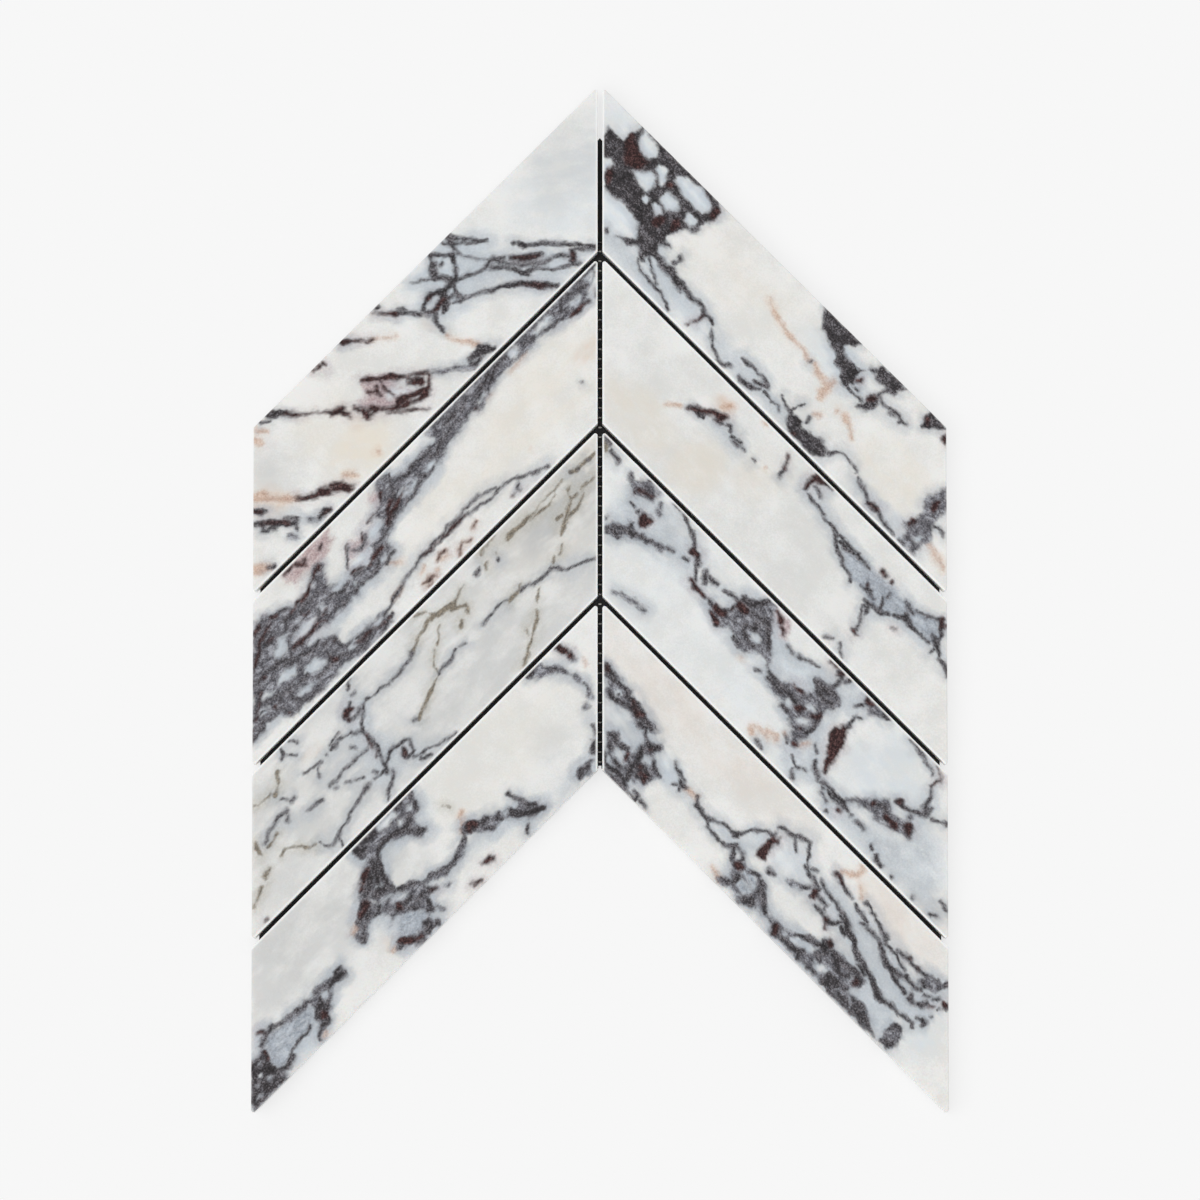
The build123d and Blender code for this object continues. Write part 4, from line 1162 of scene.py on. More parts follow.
# Right strip 3: a broken dark grey mass runs through the middle round bluish pebbles,
# with one solid burgundy lens beside the big pale pebble near the outer end.
lay_strip(
    "right",
    3,
    mist_mass=(
        (146, 0, 158, 0, 156, 10, 155, 20, 158, 30, 166, 38, 172, 41, 160, 46, 150, 46, 148, 38,
         152, 28, 151, 15),
        (203, 5, 211, 16, 213, 22, 222, 24, 232, 32, 236, 44, 215, 48, 190, 48, 172, 47, 176, 43,
         190, 40, 200, 36, 212, 31, 206, 18),
        (20, 4, 38, 3, 58, 6, 72, 16, 88, 20, 88, 24, 72, 21, 52, 20, 38, 29, 30, 28, 26, 18),
        (106, 6, 118, 8, 140, 10, 140, 18, 122, 20, 112, 14),
    ),
    rose_mass=(
        (103, 1.5, 114, 2, 114, 8, 106, 7),
    ),
    grey_mass=(
        (91, 8, 96, 5, 99, 1, 103, 1, 106, 5, 109, 9, 112, 13, 115, 16, 119, 20, 122, 22.5, 128, 23,
         131, 20, 134, 18.5, 137.5, 18.5, 140, 16, 138.5, 13, 137, 9.5, 141, 10, 143, 8.5, 145, 8,
         149, 10, 151, 12, 150, 16, 149, 18, 149.5, 21, 151, 25, 151.5, 29, 150.5, 34, 150, 37.5,
         147, 36, 144, 33, 141, 31, 137, 29, 133, 27.5, 127, 27, 123, 25.5, 119, 23, 116, 20, 113, 19,
         110, 21, 108, 24, 104, 24, 100, 22, 95, 21, 92, 24.5, 88, 23.5, 86, 21, 83, 20, 88, 19,
         91, 17, 92, 13),
        (35, 19, 37, 18.5, 41, 20, 44, 19, 50, 17, 53, 17.5, 48, 20, 43, 22, 39, 24, 37, 27.5, 34, 29,
         31, 29.5, 30, 26.5, 32, 24.5, 35, 23, 36, 21),
        (25, 7, 27, 3, 30, 1, 34, 2, 36, 3, 36, 6, 33, 8, 28, 9.5),
        (180, 37, 183, 34.5, 187, 31.5, 190, 28.5, 192, 26, 193.5, 24.8, 196, 26, 198, 28.5, 201, 28,
         204, 27, 207, 25.5, 209.5, 26, 212, 29, 211.5, 30.5, 208, 31, 204, 32, 200, 33.5, 195, 34.5,
         190, 35, 185, 36, 181, 39),
        (156, .3, 168, .3, 168, 1, 165.5, 4, 163, 5.5, 161, 4, 158.5, 4.5, 157, 2.5),
    ),
    fragments=(
        (104, 16, 107, 15, 110, 16.5, 108.5, 18.5, 105.5, 18.5),
        (141, 20.5, 144, 19.5, 146, 21, 144, 23, 141.5, 22.5),
        (134, 25, 138, 25, 139, 27, 135, 27.5),
        (142.5, 26, 147, 25, 148.5, 27, 145, 29, 142, 28.5),
    ),
    dark=(
        (2.5, 1.2, .4, 5, 1.2, .6, 6.5, 2, .4),
        (9, 3.5, .5, 12, 4, .6, 14, 4.5, .5),
        (21.5, 4.7, .5, 23, 5.8, .6),
        (29.8, 1, .4),
        (30, 13, .4, 32, 13.5, .4),
        (34.5, 13.5, .5),
        (36.5, 19, .4, 37, 21.5, .5, 40, 22.5, .8, 41, 20.5, .5),
        (27, 24.8, .4),
        (31, 25, .6, 34, 24, .6, 38, 22.5, .6),
        (31, 27.5, .7, 34, 26.5, .8, 36.5, 27, .5),
        (32, 29, .5),
        (43, 20.2, .4, 46, 20, .5, 47.5, 18.3, .5),
        (50, 17.8, .4, 53, 17, .4),
        (54, 15.8, .3, 57, 15, .3),
        (44, .5, .6, 47, .3, .5),
        (49, .7, .4, 51.5, 2, .5, 54.5, 2.8, .4, 57.5, 4.3, .5, 60.5, 6.3, .6, 62.5, 8.8, .9,
         65.5, 9.5, .8, 68, 11.5, 1),
        (67, 11, .7, 68.5, 13, .5, 70, 15, .5, 72, 16.5, .5),
        (72.5, 11.5, .6, 74, 13.5, .9, 75.5, 15, .8),
        (75, 12, .7, 78, 12.3, .8, 80, 12, .4),
        (82, 19, .6, 84, 19.8, .6),
        (62, 14, .4, 64, 13.5, .4),
        (84, 11.5, .6, 87, 10.8, .6, 90, 10.5, .5),
        (91.5, 8, .9, 94, 8.5, 1, 96, 6.5, 1, 98.5, 4.5, .8, 100, 1.2, .6),
        (116.5, 25.5, .5, 118, 25, .4),
        (124.5, 9.5, .7, 126.5, 9, .5, 129, 7.5, .25, 134, 6.3, .2),
        (118, 10, .25, 122, 9.8, .3),
        (141.5, 1.5, .8, 144, 3.5, .8, 144.5, 6, .7, 144, 8, .6),
        (147, 1, .7, 146, 3, .6),
        (158, 5.5, .6, 156, 7, .5),
        (161.5, 9.3, .5, 159.5, 9.8, .5),
        (159.3, 11, .6, 159.6, 13.5, .7, 160.3, 15, .6),
        (160.5, 35, .4, 162, 37, .6, 164.5, 38.5, .6, 166.5, 40, .5),
        (156, 30.5, .4, 158.5, 32, .4),
        (144.5, 36.5, .4, 146.5, 38, .4),
        (137, 46.5, .3, 141, 47.5, .3),
        (152, 40.8, .25, 154.5, 42, .4, 156.5, 42.5, .5, 158.5, 41.8, .4, 160.5, 41, .3),
        (159, 47.3, .4, 156, 44.5, .2),
        (167, 1, .9, 170, 1.3, .8),
        (182, .5, .3, 186, .9, .6, 189, 1.6, .6, 192, 2.3, .4, 196, 3.5, .3, 199, 4.5, .3),
        (203, 9.5, .3, 205, 12, .5, 206, 15, .7, 207, 17, 1, 209, 18.5, .9, 207, 20, .8),
        (208.5, 15.5, .5, 209.5, 17.5, .5),
        (212.5, 18, .6, 215, 16.5, .3, 217.5, 15.7, .6),
        (196.5, 23.5, .7, 198, 22.5, 1, 200, 23, .7, 202, 22, .6, 205, 21, .6, 207, 20, .8),
        (168.5, 39.3, .4, 173, 39.2, .5, 177, 39.3, .8, 181, 39.8, .9, 184.5, 40, .5),
        (171, 40.5, .4, 176, 41, .5, 180, 41, .6),
        (187, 41, .5),
        (190, 41, .4, 193, 40.8, .6, 195, 41.2, .4),
        (178.5, 47, .5),
        (202, 43.5, .5, 203.5, 44.3, .5),
        (206.5, 45.5, .6, 208, 46.5, .9, 210.5, 46.8, .6),
        (217, 47, .4),
        (229.5, 47.3, .4),
        (238.5, 40, .4, 241, 40.5, .6, 242.5, 40.8, .4),
        (239, 47, .5, 241, 45.7, .6, 242, 45.5, .4),
        (92, 10, .8, 95, 9, .8, 97, 7, .8),
        (99, 9.5, .7, 103, 9, .9, 106, 8.5, .9, 108, 10, .9),
        (103, 12, .9, 104, 14, 1),
        (109, 11.5, .8, 111, 13.5, .8, 114, 15.5, .7),
        (100, 15, .6, 101, 18, .6, 104, 19.5, .6, 108.5, 19.5, .6),
        (91.5, 13, .5, 91, 16, .6, 89, 18, .6),
        (100, 22.5, .5, 104, 24, .6),
        (121, 22.5, .6, 125, 23, .7, 130, 23, .7, 135, 23.3, .7, 138, 24, .6),
        (122, 24.5, .5, 127, 25, .6, 132, 24.8, .5),
        (137.5, 11, .9, 140, 12, 1.2, 143, 11, 1.2, 146, 10.5, 1, 148.5, 11, .6),
        (141, 14, .8, 145, 14.5, .8, 149, 14, .6),
        (148, 20, .7, 149.5, 23, .7, 150.5, 26.5, .7, 149.5, 29.5, .6),
        (134.5, 28.5, .6, 137.5, 29, .8),
        (190, 30.5, .8, 194, 28.5, .7, 197, 30, .7),
    ),
    grey=(
        (39, 5, .4, 42, 8, .6),
        (52, 44, .5, 58, 42, .5, 63, 41.5, .5, 66, 41, .9),
        (172, 43, .6, 175, 44, .5),
        (205, 24, .8),
    ),
    wine_mass=(
        (36, 13, 38, 12, 42, 12.5, 41.5, 16, 40, 18, 37.5, 17.5, 36.5, 15),
        (158.5, 16, 161, 15, 161.5, 18.5, 164, 22, 165.5, 26, 166.5, 31, 167.2, 36, 165.5, 35.5,
         162.5, 31, 159.5, 27, 157, 23, 156, 19.5, 157.5, 18),
    ),
    wine=(
        (28, 7, .6, 31, 6.3, .6, 34, 5, .7, 35, 4, .5),
        (28, 9, .4),
        (62.5, 9, 1, 65, 9.5, .8),
        (70.5, 18.5, .7, 73.5, 18.8, .9, 77, 19.3, .7, 80, 19.3, .6),
        (92, 11.5, 1, 94.5, 12, 1, 96, 11.5, .7),
        (91.5, 14.5, .5),
        (86, 19.5, .9, 90, 18.5, .8),
        (86, 22, .6, 91, 24, .6),
        (105, 2, .5, 108, 2.8, .9, 109.5, 4, .6),
        (111, 6, .4, 113.5, 7, .4),
        (132, 19, .6, 136.5, 18.8, .6),
        (147, 22.5, .9, 148.5, 20.5, .7),
        (140, 24.5, .9, 142, 23.5, .6),
        (146.5, 30, .7),
        (149, 36.5, .7, 150.5, 35.8, .5),
        (136, 1.3, .8, 139, 1, .7),
        (143.5, 1, .8, 142, 2.2, .6),
        (158, 2, 1, 161, 1.5, .8),
        (198, 1, .3, 201, 2.5, .5, 203, 4, .7, 202.5, 6.5, .6, 202, 8.5, .3),
        (197.5, 22.5, .8),
        (207.5, 27.5, 1.3, 209.5, 29, 1),
        (198, 31.5, 1, 203, 31, .9),
        (190, 31, .8),
        (182, 43, .7),
    ),
    olive=((5, 3.5, .8, 7, 4.5, .6),),
    rust=(
        (151.5, 34.5, .6, 153, 32.5, .6),
        (144, 36, .5),
        (137.5, 40.3, .3, 141.5, 39.3, .5, 143, 40.5, .4),
        (132, 43, .4, 136, 42.5, .4, 138.5, 42, .5, 140, 42.5, .4),
        (132, 44.5, .8, 134, 45.5, .7),
        (108, 26.5, .4),
    ),
    cool=((186, 20, 20, 18, .7), (125, 13, 14, 6, .7), (100, 30, 150, 30, .3)),
    shade=((139.5, 6, 5, 3, .4), (237, 43, 14, 6, .8), (170, 16.5, 4, 2, .3), (186, 20, 16, 16, .15)),
)

# Left strip 4: clean pale pebbles over the inner half, a dark knot of seams round the middle,
# and bluish stone between grey seams at the outer end, which turns dark at the point.
lay_strip(
    "left",
    4,
    mist_mass=(
        (108, 1, 146, 1, 148, 10, 168, 26, 170, 33, 158, 30, 144, 27, 138, 12, 124, 14, 116, 18,
         108, 10),
        (72, 46, 78, 38, 92, 31, 108, 25, 110, 34, 134, 31, 134, 37, 118, 37, 100, 38, 90, 42,
         88, 48.5, 74, 48.5),
        (134, 29, 152, 25, 160, 34, 160, 47, 138, 48.5),
        (182, 31, 228, 28, 236, 34, 236, 48, 206, 48.5, 194, 40),
        (46, 43, 60, 42, 74, 47, 74, 48.5, 50, 48.5),
    ),
    dark_mass=(
        (230, 35, 237, 34, 249, 46.5, 249, 48.5, 231, 48.5, 232, 42),
    ),
    grey_mass=(
        (49, 45, 52, 44.2, 54, 43.3, 55.5, 43, 57.5, 45, 57.5, 47.3, 55, 47.6, 51.5, 47.8, 50.3, 46.5),
        (75, 44.5, 76.5, 42, 78, 40, 80, 37, 82, 35.5, 84, 36, 86.5, 35.3, 88, 35, 88, 37, 91, 34.5,
         92, 32.5, 95, 31, 96.5, 30.5, 100, 30.3, 102, 28, 104, 26.8, 106.3, 26, 107.5, 28.5,
         107, 29.5, 104.5, 31, 101, 33.5, 98.5, 36, 95.5, 35.8, 92, 36, 89, 37.5, 87, 40.5, 84.5, 43.5,
         82, 44.5, 80, 45, 77, 46, 75.5, 45.2),
        (110.5, .3, 145, .3, 146.3, 4, 145, 6, 143, 8, 146, 9.5, 148, 11.5, 154, 15, 157, 17.5,
         160, 20.5, 164, 23.5, 167, 26, 169, 26.5, 169.5, 29.5, 168.5, 31.5, 167.5, 30, 164, 28,
         162, 27, 158, 27, 156, 27.3, 153, 26, 150, 24.5, 147, 25, 144.5, 25.5, 143.5, 23, 143.5, 20.5,
         141, 16.5, 140, 12.5, 139, 10.5, 135, 9.2, 131, 9.3, 129, 10.8, 126, 12.5, 123.5, 14, 122, 16,
         120.5, 17.5, 116.5, 16.5, 118.5, 13.5, 119.5, 11.5, 118, 9.5, 114.5, 8.5, 112, 6.5, 112.5, 4,
         111.5, 2.5),
        (135, 30.5, 136.5, 28.5, 139.5, 27, 143, 25.5, 147.5, 25, 151, 25, 154, 26.5, 156, 27.5,
         152, 30, 153.5, 31.8, 155.5, 34, 152, 33.5, 149, 34, 146, 36, 143.5, 37.5, 142, 40, 140, 42,
         138.5, 42.5, 137.5, 40, 136.5, 37.5, 135, 36, 132.5, 37.2, 131.3, 36.5, 133, 35, 134, 33,
         134, 31.5),
        (141, 42.5, 144, 43.5, 148, 45, 151, 45, 155, 43.5, 157, 41, 158.5, 41.5, 160, 43.5, 159, 44.5,
         156, 45, 153, 46.5, 149, 48, 140, 48, 141, 46, 143, 46.5, 142.5, 44),
        (183, 31.5, 190, 31.5, 195, 31.5, 199, 32.5, 205, 32, 212, 31, 217, 31, 220, 29, 224, 29,
         226, 30.5, 229, 31.5, 229, 33, 226, 31.8, 222, 30.5, 217, 31.5, 212, 33, 206, 34, 203, 35.5,
         203.5, 38, 205.5, 40, 204.5, 41.5, 206, 43.5, 209, 46, 209.5, 47, 207, 45.5, 203, 45, 201, 44,
         200.5, 42.5, 197, 40, 195, 38.5, 192, 36, 188, 36, 183.5, 35.5),
        (228.5, 34.5, 231, 34, 234, 34.5, 237, 33.8, 237.5, 34.5, 249, 46, 249, 48, 230.5, 48.2,
         231, 45.5, 228, 45.5, 231, 43.5, 231.5, 41, 231, 38.5, 230, 36.5),
    ),
    fragments=(
        (121, 1, 123, .5, 131, .6, 132, 2.5, 128, 4.5, 124, 4, 121.5, 3),
        (143, 7, 145.5, 6.3, 146, 8, 143.8, 8.2),
        (120.5, 6.5, 123, 5.5, 124, 7.5, 122, 8),
        (114, 5, 116, 3.8, 117.5, 5.5, 115.5, 7),
        (146, 20, 148, 19, 150, 19.5, 148.5, 20.3),
        (152.5, 20.5, 155, 20, 156, 23, 153.5, 23.5),
        (143, 27.5, 146, 26.5, 149, 27, 149.5, 29, 146, 30.5, 142.5, 31, 141, 29.5),
        (193.5, 35, 196, 33.5, 197.5, 35, 197, 37.5, 194.5, 37),
        (233, 36.5, 235, 36, 236.5, 37, 234.5, 37.5),
        (236.5, 40, 238.5, 39, 240, 40.5, 238, 41.5),
        (234, 44, 236, 42.5, 238.5, 43.5, 236.5, 45.5),
        (240, 42, 242.5, 41.5, 243, 43, 241, 43.5),
        (242, 46.5, 245, 45.5, 247, 46.5, 244, 47.5),
    ),
    slate_mass=(
        (142, 40, 145, 37, 149, 34.5, 153, 35.5, 156, 38, 157, 41, 155, 43.5, 152, 44.5, 148, 44,
         144, 43.5, 141.5, 42),
        (203, 36, 207, 34, 213, 32.5, 220, 31, 224, 31, 227, 33, 229, 36, 231, 39, 231, 42, 230, 44,
         227, 44, 223, 42.5, 219, 41, 214, 41, 209, 40, 205.5, 39),
    ),
    wine_mass=((23, .3, 26, .5, 26.3, 3, 25.5, 6, 24.5, 8.5, 22.5, 8.5, 22.5, 5, 23, 2.5),),
    dark=(
        (24.2, 1, .5, 24.3, 4, .6),
        (33, 6.2, .7, 31.5, 7.3, .6),
        (30.3, 9.5, .4, 30, 11.5, .4),
        (40, 1.5, .8, 42, 1, .8),
        (28.5, 14.7, .35),
        (27.8, 20, .3, 28.2, 22.3, .4),
        (37.5, 35, .5, 38.5, 36.8, .5, 39.5, 38, .3),
        (42, 40, .8, 44, 41.5, 1, 45.5, 42.8, .8),
        (51, 46, .6, 53.5, 45, .7, 54.5, 43.7, .6, 55.5, 46, .7, 57, 46.3, .6),
        (48.8, 44.8, .4, 50.5, 44.3, .4),
        (82.5, 30.2, .7, 82.3, 32, .6, 81.8, 34, .7, 80.3, 36, .6),
        (76.5, 44.5, 1, 79, 43.5, 1.1, 81.5, 42, 1.1, 84, 40.5, 1.1, 86, 38, 1.2),
        (78, 41, .7, 80.5, 38.8, .9),
        (86.5, 36, .8, 87.5, 37.5, .8),
        (91.5, 33, .7, 93, 34, .7, 92, 35.5, .5),
        (96, 31.3, .8, 99, 30.8, 1, 102, 29.3, 1.3, 104.5, 28.5, 1.2),
        (97, 36, .6, 99, 34, .5),
        (86.3, 45.3, .6, 87.5, 46.5, .5, 88.7, 47.8, .4),
        (107, 29, .5, 110, 31, .5, 111.5, 32, .8, 113, 32.3, .5),
        (115, 32.5, .4, 117, 34, .4, 120, 34, .3, 124, 33, .3, 127.5, 32, .5, 129, 31.3, .6,
         132, 31, .4, 134, 31, .4),
        (119, 35.3, .3, 122, 34.8, .4, 124.5, 35.3, .3),
        (111, 1, .6, 112.5, 2.8, .6),
        (117, 1, .8, 119.5, 1.5, .8),
        (112.5, 5, .8, 114, 7, .7),
        (118, 7.5, .8, 120, 9, .8, 122.5, 10, 1, 126, 9, 1.1, 129, 8.3, 1, 133, 7.5, .9, 137, 8, .9),
        (119.5, 14, .8, 118, 16, .9, 121, 15, .8),
        (123, 12, .6, 121.5, 12.5, .6),
        (133.5, 2, .9, 136.5, 2.5, 1, 139, 1.5, .9),
        (141, 4, 1.2, 144, 2.5, 1.3, 144, 5.5, .9),
        (138, 9.5, .6, 140.5, 11.5, .7, 141.5, 14, .8, 143.5, 17, .9, 144.5, 21, .8, 144, 24.5, .6),
        (146, 11.5, 1, 148, 14, 1.2, 151, 17, 1.1, 155, 18.5, .9, 159, 20.5, .9),
        (142, 10, .9, 144.5, 14, 1.2, 147, 18, 1),
        (147, 21.5, 1.2, 150, 21, 1.4, 152, 20.5, 1),
        (156.5, 21, 1.1, 159, 22, 1.2, 162, 23.3, 1, 164.5, 24.5, .8),
        (158.5, 24.5, 1, 161, 25.3, .8),
        (153, 25.5, .6, 155.5, 27, .7, 158, 26.8, .5),
        (164, 27, .5, 166.5, 29, .6, 168.5, 31, .7),
        (135.3, 30.2, .6, 137, 28.5, .7, 138.5, 28, .5),
        (140, 27.3, .6, 143, 26, .7, 145, 25.3, .5),
        (136, 34, .6, 138, 34.8, .9, 140.5, 35, .6),
        (137.5, 37, .5, 138.5, 39.5, .9, 138.7, 41.8, .9, 140.5, 40.5, .6),
        (133.5, 34.5, .6, 135, 35.5, .7),
        (143, 36.5, .6, 145.5, 35, .7),
        (141, 31.3, .7, 142.5, 32.3, .8, 145, 32, .8, 147.5, 31.5, .9, 150, 31.8, .5),
        (143.5, 45, 1, 145, 44, 1),
        (141, 47.6, .6, 143.5, 47.3, .5),
        (145, 46.5, 1, 147, 47, .9),
        (150, 48, .4, 154, 47.6, .4),
        (158, 43, .6, 159.5, 44, .6),
        (183, 32, .5, 186, 32.2, .8),
        (183, 34.5, .7, 186, 34, 1.1, 189, 33.5, 1.1, 191, 34.2, .8),
        (184, 35.3, .5, 187, 35, .6),
        (193, 33, .5, 195.5, 32, .5, 198, 32, .3),
        (202, 32.5, .5, 203.5, 31.8, .6, 205.5, 32.8, .6),
        (207, 32, .6, 209, 31.5, .5),
        (212, 31, .5, 213, 31, .4),
        (216, 31.3, .3, 218.5, 30, .4, 221, 29.3, .7, 224, 29.3, .6),
        (224, 30.3, .3, 226.5, 31.2, .5, 228.5, 31.8, .5),
        (198, 35, .7, 199, 37, 1.2, 201.5, 38.5, 1.6, 203, 40, 1.3, 202, 42, 1, 201.5, 44, .8),
        (197, 38.5, .7, 199, 40, .7),
        (202, 44, .7, 204.5, 44.2, .6, 206.5, 43.7, .4),
        (206.5, 44.5, .3, 209, 46, .4, 209.6, 47, .3),
        (208.5, 40, .4, 210, 40.7, .6, 212, 41.2, .7, 216, 41.5, .6, 218.5, 41.5, .5),
        (220, 41.8, .3, 222.5, 43, .4, 223, 44, .5),
        (222, 44, .5, 225, 44.8, .8, 227.5, 45.3, .8, 230, 45, .8),
        (230, 34.8, .7, 231.5, 36, .9, 231.5, 39, .8),
        (232, 42, 1, 233.5, 41.5, 1.1),
        (231.5, 44.5, 1, 233.5, 46, 1.1, 232.5, 47.8, 1, 235, 48, .8),
        (238, 35.5, .9, 240, 38, .8),
        (239, 44, .9, 241.5, 44.5, 1),
        (243, 43.5, .7, 245, 45, .8, 248, 45.5, .6),
        (236, 38.5, .7, 239, 38, .6),
        (238.5, 47, .7, 241, 47, .6),
    ),
    grey=(
        (42.5, .6, .8, 39.5, 1.5, 1.6, 37, 3, 1.6, 34.5, 5, 1.2, 32, 6.5, .9, 30.7, 8.5, .7, 30, 11, .5,
         29.5, 13, .4, 28.3, 14.8, .4, 28, 17, .4, 28.4, 20, .4, 28.2, 22.2, .4, 29.3, 25, .25),
        (24, 9.8, .4),
        (29.7, 26.8, .35),
        (34.2, 27.8, .6),
        (110, 31, .8, 116, 34, 1, 125, 34, 1, 134, 32, .8),
        (135.3, 45, .4, 136.3, 42.5, .5),
        (126.5, 39.5, .4, 128.5, 37.8, .4),
    ),
    wine=(
        (23.2, 6, .7, 23.2, 8.3, .6),
        (101.5, 29, .9, 103.5, 28, 1, 105, 29.3, .8),
        (146.5, 10.5, .8, 149, 12, 1.1, 151.5, 13.5, 1, 154, 15, .7),
        (157, 21, .8, 162, 22.5, .6),
        (131.5, 36.8, .8, 133, 36.3, .9),
        (147, 30.5, .6, 148, 31.5, .7),
        (150, 46.5, .7, 153, 46, .7, 156, 43, 1, 157, 41.5, .8),
        (106, 45, .4, 107.5, 44, .9, 109.5, 43.3, .7, 110.8, 42.8, .4),
        (116.5, 47.5, .5, 118, 46.8, .7, 120, 46.4, .6),
        (201, 40.5, .9, 202.5, 42, .7),
        (225, 28, .5, 226.5, 27, .4),
        (230, 35, .6, 230.5, 37, .5),
    ),
    rust=(
        (20.8, 13.5, .3, 22, 14.5, .35),
        (106.5, 26.5, .5, 107.3, 28, .5),
        (101.5, 21.5, .4, 103.5, 23, .5, 105.5, 25, .3),
        (165.5, 24.5, .7, 167.5, 25.5, 1, 168.8, 25.5, .8),
        (160.5, 42.5, .5, 162, 42.3, .4),
        (206, 46.5, .3, 208, 47.5, .3),
    ),
    olive=((104, 17, .2, 106, 14.3, .2),),
    cool=((65, 20, 40, 20, .15), (216, 44, 10, 4, .9)),
    warm=((70, 15, 40, 16, .3),),
    shade=((190, 14, 45, 22, .6), (56, 28, 9, 8, .3), (106, 34.5, 6, 2, .4), (140, 16, 18, 14, .7),
           (146, 40, 12, 8, .7)),
    blush=((160, 40, 4, 4, .6),),
)

